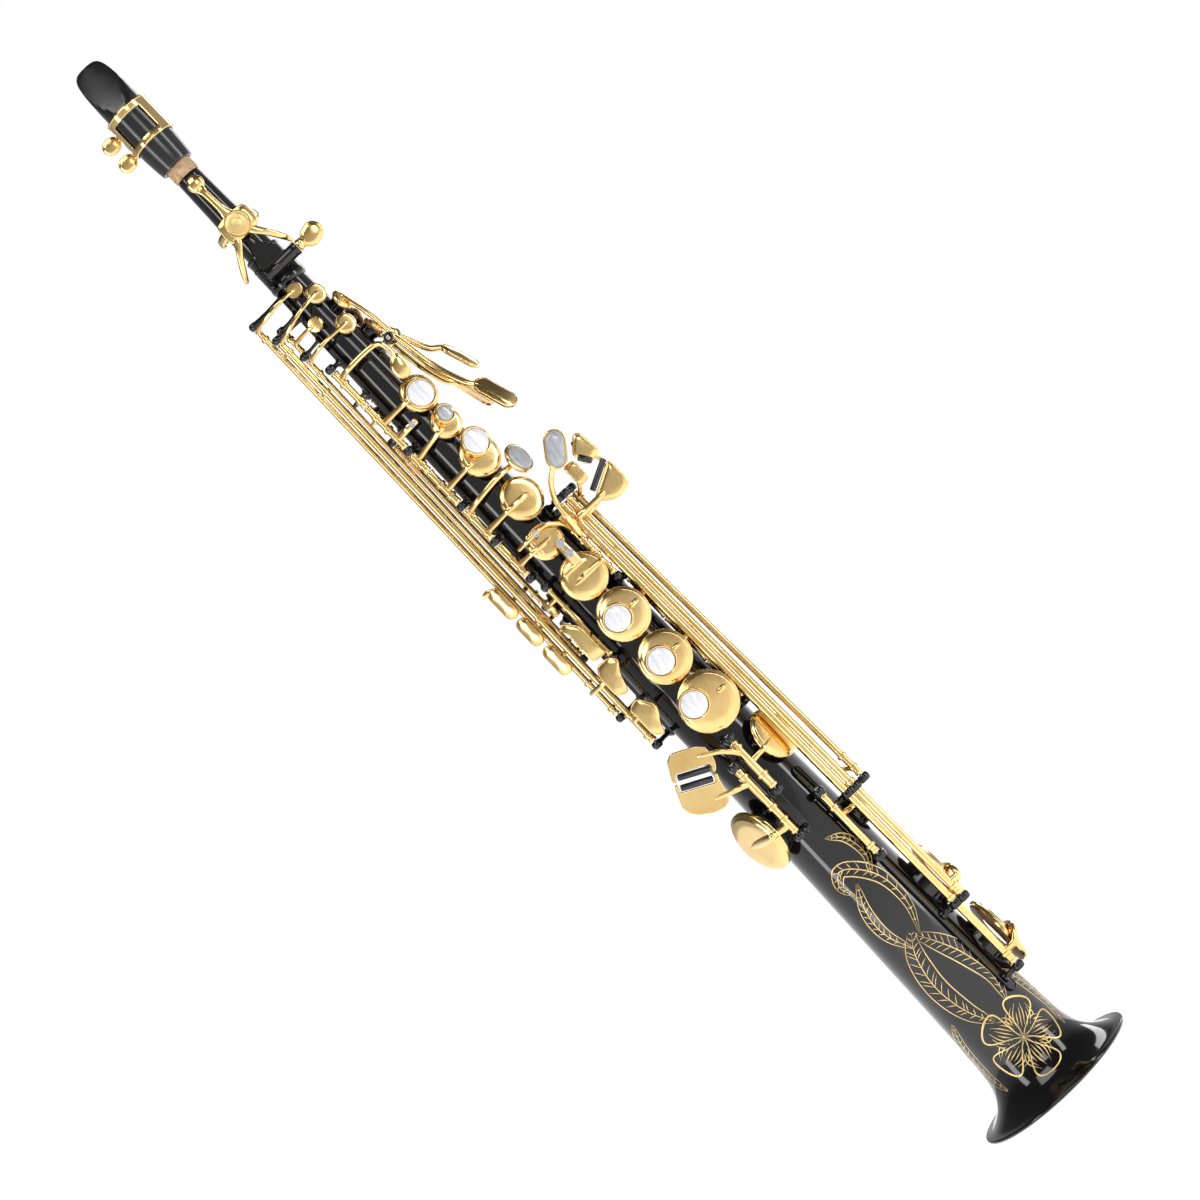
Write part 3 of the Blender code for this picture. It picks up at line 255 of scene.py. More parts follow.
def ebonite():
    """Hard rubber: satin black with fine turning marks."""
    made = new_material("ebonite", (0.008, 0.008, 0.009), 0.2, 0.0, Coat_Weight=0.4, Coat_Roughness=0.12)
    marks = noise(made, 700.0, 4.0, 0.6, (0.2, 0.2, 1))
    spread(made, marks, "Fac", 0.14, 0.3, "Roughness")
    bump(made, marks, "Fac", 0.00001, 0.2)
    return made


def pearl_material(name, white, tint, shade):
    """Mother of pearl: layered clouds of warm and cool white under a clear surface."""
    made = new_material(name, white, 0.16, 0.0, Coat_Weight=1.0, Coat_Roughness=0.02,
                        Subsurface_Weight=0.15, Subsurface_Scale=0.002)
    wave = texture(made, "ShaderNodeTexWave", Scale=90.0, Distortion=9.0, Detail=3.0)
    paint(made, wave, "Fac", [(0.0, shade), (0.35, white), (0.7, tint), (1.0, white)])
    spread(made, wave, "Fac", 0.1, 0.24, "Roughness")
    return made


def cork_material():
    made = new_material("cork", (0.55, 0.36, 0.2), 0.85)
    speck = texture(made, "ShaderNodeTexVoronoi", Scale=900.0)
    grain = noise(made, 500.0, 8.0, 0.7)
    paint(made, grain, "Fac", [(0.32, (0.1, 0.05, 0.025)), (0.43, (0.42, 0.25, 0.13)),
                                     (0.7, (0.66, 0.47, 0.29))])
    bump(made, speck, "Distance", 0.00012, 0.6)
    return made


def leather_material():
    """Pad leather, reddish brown with a fine grain."""
    made = new_material("pad_leather", (0.3, 0.14, 0.07), 0.5)
    grain = texture(made, "ShaderNodeTexVoronoi", Scale=1600.0)
    drift = noise(made, 120.0, 5.0)
    paint(made, drift, "Fac", [(0.3, (0.16, 0.065, 0.03)), (0.7, (0.36, 0.17, 0.085))])
    spread(made, drift, "Fac", 0.38, 0.6, "Roughness")
    bump(made, grain, "Distance", 0.00005, 0.5)
    return made


def cane_material():
    made = new_material("cane", (0.78, 0.62, 0.36), 0.5)
    fibre = noise(made, 1400.0, 4.0, 0.6, (1, 1, 0.03))
    paint(made, fibre, "Fac", [(0.35, (0.6, 0.42, 0.2)), (0.65, (0.84, 0.7, 0.44))])
    bump(made, fibre, "Fac", 0.00003, 0.4)
    return made


def felt_material():
    made = new_material("red_felt", (0.4, 0.03, 0.02), 0.95, 0.0, Sheen_Weight=0.5, Sheen_Roughness=0.5)
    fuzz = noise(made, 2500.0, 6.0, 0.8)
    paint(made, fuzz, "Fac", [(0.35, (0.22, 0.012, 0.01)), (0.65, (0.5, 0.05, 0.03))])
    bump(made, fuzz, "Fac", 0.0001, 0.6)
    return made


def steel_material():
    made = new_material("blued_steel", (0.62, 0.62, 0.64), 0.22, 1.0)
    marks = noise(made, 1500.0, 3.0, 0.6, (1, 1, 0.2))
    spread(made, marks, "Fac", 0.14, 0.34, "Roughness")
    bump(made, marks, "Fac", 0.00001, 0.3)
    return made


GOLD = gold_material("gold_lacquer", (0.9, 0.66, 0.28), (0.78, 0.51, 0.18), 0.14)
ENGRAVED = gold_material("engraved_brass", (0.9, 0.68, 0.3), (0.66, 0.44, 0.16), 0.36)
BLACK = black_lacquer()
EBONITE = ebonite()
WHITE_PEARL = pearl_material("white_pearl", (0.8, 0.8, 0.82), (0.74, 0.72, 0.76), (0.66, 0.67, 0.71))
# Darker copy of the pearl material for the bis, G and G sharp pearls: painted shade for pearls that face
# away from the lights. They are not a different kind of pearl.
PAINTED_SHADE_PEARL = pearl_material("grey_pearl", (0.42, 0.43, 0.45), (0.37, 0.38, 0.4), (0.33, 0.34, 0.36))
CORK = cork_material()
LEATHER = leather_material()
CANE = cane_material()
FELT = felt_material()
STEEL = steel_material()


# ---- mesh making ----

class Shape:
    """Closed surfaces gathered into one mesh; points are in millimetres."""

    def __init__(self):
        self.points = []
        self.faces = []

    def rings(self, rings, closed_ring=True, join_ends=False):
        """Skin rings of points in order; a ring of one point closes to a tip, open ends get a cap."""
        starts = []
        for ring in rings:
            starts.append((len(self.points), len(ring)))
            self.points += [Vector(p) for p in ring]
        pairs = list(zip(starts, starts[1:]))
        if join_ends:
            pairs.append((starts[-1], starts[0]))
        for (a, count_a), (b, count_b) in pairs:
            count = max(count_a, count_b)
            for i in range(count if closed_ring else count - 1):
                j = (i + 1) % count
                if count_a == 1:
                    self.faces.append((a, b + j, b + i))
                elif count_b == 1:
                    self.faces.append((a + i, a + j, b))
                else:
                    self.faces.append((a + i, a + j, b + j, b + i))
        if not join_ends:
            if starts[0][1] > 2:
                self.faces.append(tuple(range(starts[0][0] + starts[0][1] - 1, starts[0][0] - 1, -1)))
            if starts[-1][1] > 2:
                self.faces.append(tuple(range(starts[-1][0], starts[-1][0] + starts[-1][1])))

    def lathe(self, profile, origin, axis, sides=40, loop=False):
        """Turned form; the profile lists (radius, height) along the axis."""
        place = turn_to(origin, axis)
        rings = []
        for radius, height in profile:
            if radius <= 0.0001:
                rings.append([place @ Vector((0, 0, height))])
            else:
                rings.append([place @ Vector((radius * math.cos(a), radius * math.sin(a), height))
                              for a in (math.tau * i / sides for i in range(sides))])
        self.rings(rings, join_ends=loop)

    def sweep(self, path, sizes, facing=None, sides=14, square=2.6):
        """Bar along a smooth path, with its (width, height) at each path point."""
        points = smooth(path, 6)
        spans = smooth([(w, h, 0) for w, h in sizes], 6)
        rings = []
        last = len(points) - 1
        for i, point in enumerate(points):
            ahead = (points[min(i + 1, last)] - points[max(i - 1, 0)]).normalized()
            out = Vector(facing) if facing else outward_at(point)
            across = ahead.cross(out)
            if across.length < 0.05:
                across = ahead.cross(Vector((0, 0, 1)))
            across.normalize()
            rise = across.cross(ahead).normalized()
            width, height = spans[i][0] / 2, spans[i][1] / 2
            rings.append([point + across * width * bulge(math.cos(a),
                                                         square) + rise * height * bulge(math.sin(a),
                                                                                         square)
                          for a in (math.tau * k / sides for k in range(sides))])
        first_in = rings[0][0].lerp(rings[0][sides // 2], 0.5)
        last_in = rings[-1][0].lerp(rings[-1][sides // 2], 0.5)
        start_dir = (points[0] - points[1]).normalized() * min(sizes[0]) * 0.18
        end_dir = (points[-1] - points[-2]).normalized() * min(sizes[-1]) * 0.18
        head = [first_in.lerp(p, 0.75) + start_dir for p in rings[0]]
        tail = [last_in.lerp(p, 0.75) + end_dir for p in rings[-1]]
        self.rings([head] + rings + [tail])

    def slab(self, outline, thick, place, edge=0.4, dome=0.0):
        """Plate with a rounded edge; the outline is in the plate's own plane, in order."""
        count = len(outline)
        flat = [Vector((x, y)) for x, y in outline]
        area = sum(flat[i].cross(flat[(i + 1) % count]) for i in range(count))
        normals = []
        for i in range(count):
            step = flat[(i + 1) % count] - flat[i - 1]
            normal = Vector((step.y, -step.x))
            normals.append((normal.normalized() if normal.length else normal) * (1 if area > 0 else -1))
        if area < 0:
            flat.reverse()
            normals.reverse()
        half = thick / 2
        steps = [(edge * (1 - math.sin(a)), half - edge * (1 - math.cos(a))) for a in
                 (math.pi / 2 * k / 4 for k in range(5))]
        rings = []
        for inset, height in [(s[0], s[1]) for s in reversed(steps)]:
            rings.append([place @ Vector((p.x - n.x * inset, p.y - n.y * inset, -height)) for p,
                          n in zip(flat, normals)])
        for inset, height in steps:
            rings.append([place @ Vector((p.x - n.x * inset, p.y - n.y * inset, height)) for p,
                          n in zip(flat, normals)])
        if dome:
            centre = sum(flat, Vector((0, 0))) / count
            for share in (0.8, 0.6, 0.4, 0.2):
                rings.append([place @ Vector((*(centre + (p - centre) * share),
                                              half + dome * (1 - share ** 2)))
                              for p in flat])
            rings.append([place @ Vector((*centre, half + dome))])
        self.rings(rings)

    def ball(self, centre, radius, axis=(0, 0, 1), sides=24, low=-0.999, high=0.999):
        """Round ball, cut flat at shares of its radius along its axis."""
        start, end = math.asin(low), math.asin(high)
        steps = 12
        profile = [(radius * math.cos(a), radius * math.sin(a))
                   for a in (start + (end - start) * i / steps for i in range(steps + 1))]
        self.lathe(profile, centre, axis, sides)


def bulge(value, power):
    """Superellipse coordinate: rounder than a box and flatter than a circle."""
    return math.copysign(abs(value) ** (2.0 / power), value)


def smooth(points, steps):
    """Points on a Catmull-Rom curve through the given points."""
    points = [Vector(p) for p in points]
    if len(points) < 3:
        return [points[0].lerp(points[-1], i / steps) for i in range(steps + 1)]
    whole = [points[0] * 2 - points[1]] + points + [points[-1] * 2 - points[-2]]
    curve = []
    for a, b, c, d in zip(whole, whole[1:], whole[2:], whole[3:]):
        for i in range(steps):
            t = i / steps
            curve.append(0.5 * (2 * b + (c - a) * t + (2 * a - 5 * b + 4 * c - d) * t * t
                                + (3 * b - a - 3 * c + d) * t ** 3))
    return curve + [points[-1]]


def round_outline(corners, times=3):
    """Corner-cutting of an outline, for plates with soft corners."""
    points = [Vector(c) for c in corners]
    for _ in range(times):
        cut = []
        for a, b in zip(points, points[1:] + points[:1]):
            cut += [a.lerp(b, 0.25), a.lerp(b, 0.75)]
        points = cut
    return points


def filleted(corners, radius):
    """Outline with straight edges and rounded corners."""
    points = []
    flat = [Vector(c) for c in corners]
    for before, corner, after in zip(flat[-1:] + flat[:-1], flat, flat[1:] + flat[:1]):
        start = corner.lerp(before, min(radius / (before - corner).length, 0.45))
        end = corner.lerp(after, min(radius / (after - corner).length, 0.45))
        for k in range(6):
            share = k / 5
            points.append(start.lerp(corner, share).lerp(corner.lerp(end, share), share))
    return points


def stadium(length, width, steps=10):
    half = (length - width) / 2
    right = [(half + width / 2 * math.cos(a), width / 2 * math.sin(a))
             for a in (math.pi * (i / steps - 0.5) for i in range(steps + 1))]
    return right + [(-x, -y) for x, y in right]


def finish(name, shape, material, body, nodes=(), sharp=38):
    """Make the piece's mesh, in metres, and let it ride on its body."""
    mesh = bpy.data.meshes.new(name)
    mesh.from_pydata([p * MM for p in shape.points], [], shape.faces)
    shell = bmesh.new()
    shell.from_mesh(mesh)
    bmesh.ops.remove_doubles(shell, verts=shell.verts, dist=0.0000005)
    bmesh.ops.recalc_face_normals(shell, faces=shell.faces)
    shell.to_mesh(mesh)
    shell.free()
    mesh.shade_smooth()
    mesh.set_sharp_from_angle(angle=math.radians(sharp))
    mesh.materials.append(material)
    piece = bpy.data.objects.new(name, mesh)
    bpy.context.scene.collection.objects.link(piece)
    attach(piece, body)
    if nodes:
        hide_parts(*nodes)
    return piece


# ---- details shared by the keys ----

PIN = 0.75
ROD_CLEARANCE = 0.15


def cup_rho(cup):
    return tube_radius(cup.z) + cup.lift + cup.thick


def cup_top(cup, above=0.0):
    return at(cup.z, cup.deg, cup_rho(cup) + above)


def add_cup(gold, pads, cup):
    """Pad cup with a stepped dome and lip, and below it the leather pad and its metal resonator."""
    r, top = cup.radius, cup.thick
    base = at(cup.z, cup.deg, tube_radius(cup.z) + cup.lift)
    gold.lathe([(0, 1.3), (r - 1.1, 1.3), (r - 1.0, 0.85), (r - 0.15, 0.85), (r, 1.0), (r, top * 0.52),
                (r - 0.12, top * 0.6), (r * 0.975, top * 0.66), (r * 0.93, top * 0.76),
                (r * 0.89, top * 0.82),
                (r * 0.87, top * 0.93), (r * 0.84, top * 0.97), (r * 0.6, top), (r * 0.3, top + 0.08),
                (0, top + 0.1)], base, radial(cup.deg), 56)
    pads.lathe([(0, 0.4), (r * 0.55, 0.4), (r * 0.6, 0.08), (r * 0.7, 0), (r * 0.86, 0.02),
                (r * 0.925, 0.3),
                (r * 0.94, 0.8), (r * 0.9, 1.25), (0, 1.25)], base, radial(cup.deg), 48)
    gold.lathe([(0, 0.06), (r * 0.3, 0.12), (r * 0.44, 0.28), (r * 0.46, 0.42), (0, 0.42)], base,
               radial(cup.deg), 32)


def add_hinge(gold, line, low, high, collars=()):
    """Hollow hinge tube with raised, bevelled ends and turned collars at given heights."""
    start, end = on(line, low), on(line, high)
    r, length = line.radius, (end - start).length
    lip = r + 0.28
    outer = [(r - 0.3, 0), (lip - 0.12, 0.05), (lip, 0.3), (lip, 1.5), (r, 1.75), (r, length - 1.75),
             (lip, length - 1.5), (lip, length - 0.3), (lip - 0.12, length - 0.05), (r - 0.3, length)]
    inner = [(PIN + ROD_CLEARANCE, length), (PIN + ROD_CLEARANCE, 0)]
    gold.lathe(outer + inner, start, end - start, 26, loop=True)
    for z in collars:
        add_collar(gold, line, z)


def add_collar(gold, line, z, width=2.0, rise=0.8):
    r = line.radius
    half = width / 2
    inside = r - 0.2
    gold.lathe([(inside, -half), (r + rise - 0.25, -half), (r + rise, 0.25 - half), (r + rise, half - 0.25),
                (r + rise - 0.25, half), (inside, half)], on(line, z), along(line), 26, loop=True)


def off_tube(line, z, towards, share=0.7):
    """Point in the wall of a hinge tube on the side that faces a target."""
    centre, axis = on(line, z), along(line)
    away = Vector(towards) - centre
    away -= axis * away.dot(axis)
    return centre + away.normalized() * line.radius * share


def add_arm(gold, path, width, height=None, taper=0.8, facing=None):
    """Bent arm through points, thickest at its root."""
    height = height or width * 0.8
    last = len(path) - 1
    sizes = [(width * (1.12 - (1.12 - taper) * i / last), height * (1.1 - (1.1 - taper) * i / last))
             for i in range(last + 1)]
    gold.sweep(path, sizes, facing)


def shoulder(cup, towards, above=0.8, inset=0.9):
    """Point above the edge of a cup on the side nearest a given point."""
    normal = radial(cup.deg)
    away = Vector(towards) - cup_top(cup)
    away -= normal * away.dot(normal)
    away.z = 0
    return cup_top(cup, above) + away.normalized() * cup.radius * inset


def add_cup_arm(gold, line, z, cup, width=2.9, inset=0.9, past=0.35):
    """Arm from a hinge tube over a cup's edge, along its top and to a point past its middle."""
    edge = shoulder(cup, on(line, z), 0.9, inset)
    edge.z = z + (cup.z - z) * 0.6
    middle = cup_top(cup, 0.45)
    start = off_tube(line, z, edge)
    path = [start, start.lerp(edge, 0.55) + outward_at(edge) * 0.5, edge]
    sizes = [(width * 1.25, 2.4), (width, 2.2), (width * 1.05, 2.2)]
    if past:
        gold.sweep(path + [middle, middle + (middle - edge) * past],
                   sizes + [(width * 1.1, 1.5), (0.5, 0.7)])
    else:
        gold.sweep(path + [edge.lerp(middle, 0.35)], sizes + [(width, 1.9)])


def add_slab(shape, corners, y, thick, edge=0.5, dome=0.35, radius=1.6):
    """Touch plate facing the front; its corners are (height, x)."""
    middle = Vector((sum(x for z, x in corners) / len(corners), y,
                     sum(z for z, x in corners) / len(corners)))
    outline = filleted([(z - middle.z, middle.x - x) for z, x in corners], radius)
    shape.slab(outline, thick, turn_to(middle, (0, -1, 0)), edge, dome)


def add_leaf(shape, length, width, thick, centre, normal, side, dome=0.6, edge=0.5):
    shape.slab(stadium(length, width, 14), thick, turn_to(centre, normal, side), edge, dome)


def add_seat(gold, z, deg, rho, radius):
    """Round seat with a raised rim for a pearl."""
    gold.lathe([(0, -3.4), (radius * 0.5, -3.4), (radius * 0.62, -2.9), (radius * 0.93, -1.9),
                (radius, -1.2),
                (radius, -0.1), (radius - 0.25, 0.4), (radius - 0.7, 0.55), (radius - 1.1, 0.4),
                (radius - 1.25, 0.05),
                (0, 0.05)], at(z, deg, rho), radial(deg), 48)


def pearl(name, body, z, deg, rho, radius, material):
    """Polished pearl disc with a soft edge, in its seat."""
    disc = Shape()
    r = radius - 1.4
    disc.lathe([(0, 0.1), (r, 0.1), (r + 0.05, 0.5), (r - 0.12, 0.95), (r * 0.94, 1.25), (r * 0.82, 1.5),
                (r * 0.6, 1.74), (r * 0.3, 1.9), (0, 1.95)], at(z, deg, rho), radial(deg), 48)
    finish(name.replace("_pearl", "_pearl_disc"), disc, material, body, [name])


def add_screw(shape, centre, axis, radius, height=0.9, slot_side=(0, 0, 1)):
    """Slotted screw head: two half discs with the slot between them, on a round base."""
    place = turn_to(centre, axis, slot_side)
    half_slot = radius * 0.14
    for side in (-1, 1):
        reach = math.acos(half_slot / radius)
        outline = [(side * radius * math.cos(a), radius * math.sin(a))
                   for a in (-reach + 2 * reach * k / 14 for k in range(15))]
        shape.slab(outline, height, place @ Matrix.Translation((0, 0, height / 2)), height * 0.25)
    shape.lathe([(0, -0.4), (radius * 0.98, -0.4), (radius * 0.98, height * 0.45), (0, height * 0.45)],
                centre, axis, 28)


def key_pieces(body, gold=None, pads=None, steel=None, nodes=None):
    """Finish the gold, leather and steel surfaces of one key."""
    if gold:
        finish(body + "_brass", gold, GOLD, body, nodes or [body])
    if pads:
        finish(body + "_pad", pads, LEATHER, body)
    if steel:
        finish(body + "_screws", steel, STEEL, body)


# ---- the tube, its posts and strips ----

RIB_THICK = 1.4
FOOT_RISE = 1.7
POST_HALF = 2.0


def make_body_tube():
    """Turned tube with a rolled rim, cut by its tone holes, each with a drawn chimney."""
    heights = [2.0 + 26.0 * (i / 26) ** 1.5 for i in range(27)] + [40.0 + 12.5 * i for i in range(43)]
    heights = [z for z in heights if z < TUBE_TOP - 4] + [TUBE_TOP]
    rim = tube_radius(0)
    bead = [(rim - 1.05 + 1.05 * math.cos(a), 1.05 + 1.05 * math.sin(a))
            for a in (math.pi / 2 - math.pi * k / 10 for k in range(11))]
    bead = [(radius, max(height, 0.0)) for radius, height in bead]
    outer = [(tube_radius(z), z) for z in reversed(heights)]
    inner = [(tube_radius(z) - WALL, z) for z in heights[1:]]
    shell = Shape()
    shell.lathe(outer[:-1] + bead + [(rim - 2.4, 0.0)] + inner, (0, 0, 0), (0, 0, 1), 144, loop=True)
    tube = finish("body_tube_shell", shell, BLACK, "body", ["body_tube"], 30)
    holes = Shape()
    chimneys = Shape()
    for hole in TONE_HOLES:
        wide = hole.radius * 0.72
        surface = tube_radius(hole.z)
        root = math.sqrt(max(surface ** 2 - wide ** 2, 0.0)) - WALL * 0.4
        holes.lathe([(0, -1.5), (wide - 1.0, -1.5), (wide - 1.0, surface - root + 6),
                     (0, surface - root + 6)],
                    at(hole.z, hole.deg, root), radial(hole.deg), 40)
        top = surface - root + CHIMNEY
        chimneys.lathe([(wide - 0.95, 0), (wide, 0), (wide, top - 1.2), (wide + 0.3, top - 0.8),
                        (wide + 0.35, top - 0.35),
                        (wide + 0.1, top - 0.05), (wide - 0.4, top), (wide - 0.85, top - 0.15),
                        (wide - 0.95, top - 0.5)],
                       at(hole.z, hole.deg, root), radial(hole.deg), 48, loop=True)
    cut_away(tube, holes)
    finish("tone_hole_chimneys", chimneys, BLACK, "body", ["body_tube"])


def cut_away(piece, shape):
    """Boolean difference of a piece and the closed surfaces of a shape."""
    mesh = bpy.data.meshes.new("cutter")
    mesh.from_pydata([p * MM for p in shape.points], [], shape.faces)
    cutter = bpy.data.objects.new("cutter", mesh)
    bpy.context.scene.collection.objects.link(cutter)
    cut = piece.modifiers.new("cut", "BOOLEAN")
    cut.operation = "DIFFERENCE"
    cut.solver = "EXACT"
    cut.use_self = True
    cut.object = cutter
    bpy.context.view_layer.update()
    made = bpy.data.meshes.new_from_object(piece.evaluated_get(bpy.context.evaluated_depsgraph_get()))
    piece.modifiers.clear()
    piece.data = made
    made.shade_smooth()
    made.set_sharp_from_angle(angle=math.radians(30))
    bpy.data.objects.remove(cutter)


def add_rib(shape, low, high, deg, width):
    """Strip soldered along the tube, with round ends and a crowned top."""
    ends = [at(z, deg, tube_radius(z) + RIB_THICK / 2) for z in (low, high)]
    middle = (ends[0] + ends[1]) / 2
    side = ends[1] - ends[0]
    normal = radial(deg) - side.normalized() * radial(deg).dot(side.normalized())
    shape.slab(stadium(side.length, width, 12), RIB_THICK + 2 * GAP, turn_to(middle, normal, side), 0.45,
               0.12)


def add_stem(shape, foot, centre, radius):
    """Turned stem of a post: a flange on the strip, a waist, and a swelling under the head."""
    length = (centre - foot).length
    shape.lathe([(0, -0.6), (radius + 1.0, -0.6), (radius + 1.0, 0.35), (radius + 0.75, 0.65),
                 (radius + 0.15, 0.9),
                 (radius - 0.15, 1.6), (radius - 0.35, length * 0.5), (radius - 0.1, length * 0.75),
                 (radius + 0.2, length * 0.9), (0, length)], foot, centre - foot, 24)


def add_head(shape, steel, line, z, radius=3.0, screw=-1):
    """Ball head of a post, faced flat on both sides, with the slotted end of its rod."""
    axis = along(line)
    share = min(POST_HALF / (radius * 1.1), 0.9)
    shape.ball(on(line, z), radius * 1.1, axis, 28, -share, share)
    if screw:
        add_screw(steel, on(line, z) + axis * screw * (POST_HALF - 0.15), axis * screw, radius * 0.5, 0.28,
                  (axis.y, axis.z, axis.x))


def add_post(shape, steel, z, rib_deg, line, head=3.0, stem=1.6, screw=-1):
    add_stem(shape, at(z, rib_deg, tube_radius(z) + FOOT_RISE), on(line, z), stem)
    add_head(shape, steel, line, z, head, screw)


def add_pin(steel, line, low, high):
    """Steel rod inside the hinge tubes, seen in the gaps at the posts."""
    steel.lathe([(0, 0), (PIN, 0), (PIN, (on(line, high) - on(line, low)).length),
                 (0, (on(line, high) - on(line, low)).length)],
                on(line, low), along(line), 14)


def add_through(shape, line, z):
    """Ring of a double post about a tube that passes through it."""
    inner = line.radius + 0.42
    shape.lathe([(inner, -2), (3.1, -2), (3.55, -1.5), (3.7, 0), (3.55, 1.5), (3.1, 2), (inner, 2)],
                on(line, z), along(line), 32, loop=True)


def add_link(shape, a, b, radius=1.6):
    """Waisted stem between two heads."""
    a, b = Vector(a), Vector(b)
    length = (b - a).length
    shape.lathe([(0, 0.6), (radius + 0.2, 0.6), (radius - 0.3, length * 0.5), (radius + 0.2, length - 0.6),
                 (0, length - 0.6)],
                a, b - a, 20)


def make_bell_key_rib():
    deg = 42
    shape, steel = Shape(), Shape()
    add_rib(shape, 50, 205, deg, 6.0)
    add_post(shape, steel, 57.6, deg, LOW_B_FLAT_LINE)
    add_post(shape, steel, 144.2, deg, C_SHARP_PAD_LINE)
    add_post(shape, steel, 187.8, deg, C_SHARP_PAD_LINE, screw=1)
    for z in (101, 177):
        foot = at(z, deg, tube_radius(z) + FOOT_RISE)
        outward = (on(LOW_B_FLAT_LINE, z) - foot).normalized()
        add_stem(shape, foot, on(LOW_B_FLAT_LINE, z) - outward * 3.0, 1.7)
        step = (on(LOW_B_LINE, z) - on(LOW_B_FLAT_LINE, z)).normalized()
        far = 3.2 if z > 150 else 1.0
        add_link(shape, on(LOW_B_FLAT_LINE, z) + step * 2.6, on(LOW_B_LINE, z) - step * (far - 0.9))
        add_through(shape, LOW_B_FLAT_LINE, z)
    add_head(shape, steel, LOW_B_LINE, 101)
    add_through(shape, LOW_B_LINE, 177)
    step = (on(LOW_C_SHARP_LINE, 177) - on(LOW_B_LINE, 177)).normalized()
    add_link(shape, on(LOW_B_LINE, 177) + step * 2.6, on(LOW_C_SHARP_LINE, 177))
    add_head(shape, steel, LOW_C_SHARP_LINE, 177)
    add_pin(steel, LOW_B_FLAT_LINE, 59, 380)
    add_pin(steel, LOW_B_LINE, 102, 380)
    add_pin(steel, LOW_C_SHARP_LINE, 178, 380)
    add_pin(steel, C_SHARP_PAD_LINE, 145, 187)
    finish("bell_key_strip", shape, BLACK, "body", ["bell_key_rib"])
    finish("bell_key_rods", steel, STEEL, "body")


def make_low_key_rib():
    deg = -8
    shape, steel = Shape(), Shape()
    add_rib(shape, 176, 241, deg, 6.0)
    for line, z, screw in ((EB_LINE, 203.2, -1), (EB_LINE, 237.6, 1), (LOW_C_LINE, 179.4, -1),
                           (LOW_C_LINE, 225.8, 1)):
        add_post(shape, steel, z, deg, line, screw=screw)
    add_pin(steel, EB_LINE, 204, 237)
    add_pin(steel, LOW_C_LINE, 180, 225)
    finish("low_key_strip", shape, BLACK, "body", ["low_key_rib"])
    finish("low_key_rods", steel, STEEL, "body")


def make_lower_stack_rib():
    deg, table_z = 68, 381.2
    shape, steel = Shape(), Shape()
    add_rib(shape, 243, 384, deg, 5.0)
    add_post(shape, steel, 245.4, deg, LOWER_STACK_LINE, 2.6)
    add_post(shape, steel, 331.4, deg, LOWER_STACK_LINE, 2.6, screw=0)
    add_post(shape, steel, 333.6, deg, FRONT_LINE, 2.6, screw=0)
    add_post(shape, steel, 376.6, deg, FRONT_LINE, 2.0, 1.2, 1)
    add_post(shape, steel, table_z, deg, LOW_B_FLAT_LINE, screw=1)
    add_link(shape, on(LOW_B_FLAT_LINE, table_z), on(LOW_B_LINE, table_z))
    add_head(shape, steel, LOW_B_LINE, table_z, screw=1)
    add_link(shape, on(LOW_B_LINE, table_z), on(LOW_C_SHARP_LINE, table_z))
    add_head(shape, steel, LOW_C_SHARP_LINE, table_z, screw=1)
    add_pin(steel, LOWER_STACK_LINE, 246, 331)
    add_pin(steel, FRONT_LINE, 334, 376)
    finish("lower_stack_strip", shape, BLACK, "body", ["lower_stack_rib"])
    finish("lower_stack_rods", steel, STEEL, "body")


def add_bent_post(shape, steel, bend, rib_deg, line, stem, screw):
    bend = Vector(bend)
    foot = at(bend.z, rib_deg, tube_radius(bend.z) + FOOT_RISE)
    shape.lathe([(0, -0.6), (stem + 1.0, -0.6), (stem + 1.0, 0.35), (stem + 0.2, 0.9), (stem, 1.4),
                 (0, 1.6)],
                foot, bend - foot, 20)
    shape.sweep([foot, foot.lerp(bend, 0.7), bend, bend.lerp(on(line, bend.z), 0.3), on(line, bend.z)],
                [(stem * 2, stem * 2)] * 5, facing=(0, 0, 1), square=2.0)
    add_head(shape, steel, line, bend.z, 2.4, screw)


def make_upper_stack_rib():
    deg = -54
    shape, steel = Shape(), Shape()
    add_rib(shape, 302, 550.6, deg, 4.0)
    add_post(shape, steel, 305.6, deg, TRILL_LINE, 2.2)
    add_post(shape, steel, 354.4, deg, TRILL_LINE, 2.2, screw=1)
    for z, screw in ((362.6, -1), (388.0, 0), (412.0, 0), (450.0, 0), (506.2, 1)):
        add_post(shape, steel, z, deg, UPPER_STACK_LINE, 2.6, screw=screw)
    add_post(shape, steel, 460.8, deg, SIDE_BB_LINE, 2.4, 1.2, 1)
    add_bent_post(shape, steel, (-19.0, 7.0, 486.6), deg, SIDE_C_LINE, 1.3, 1)
    for z, screw in ((521.5, -1), (538.6, 1)):
        add_post(shape, steel, z, deg, SIDE_E_LINE, 2.4, 1.2, screw if z < 530 else 0)
        add_link(shape, on(SIDE_E_LINE, z), on(BODY_OCTAVE_LINE, z), 1.3)
        add_head(shape, steel, BODY_OCTAVE_LINE, z, 2.4, screw)
    add_post(shape, steel, 535.6, deg, HIGH_F_SHARP_LINE, 2.6, screw=1)
    add_post(shape, steel, 549.6, deg, HIGH_G_LINE, 2.4, screw=1)
    for line, low, high in ((TRILL_LINE, 306, 354), (UPPER_STACK_LINE, 363, 506),
                            (BODY_OCTAVE_LINE, 522, 538)):
        add_pin(steel, line, low, high)
    finish("upper_stack_strip", shape, BLACK, "body", ["upper_stack_rib"])
    finish("upper_stack_rods", steel, STEEL, "body")


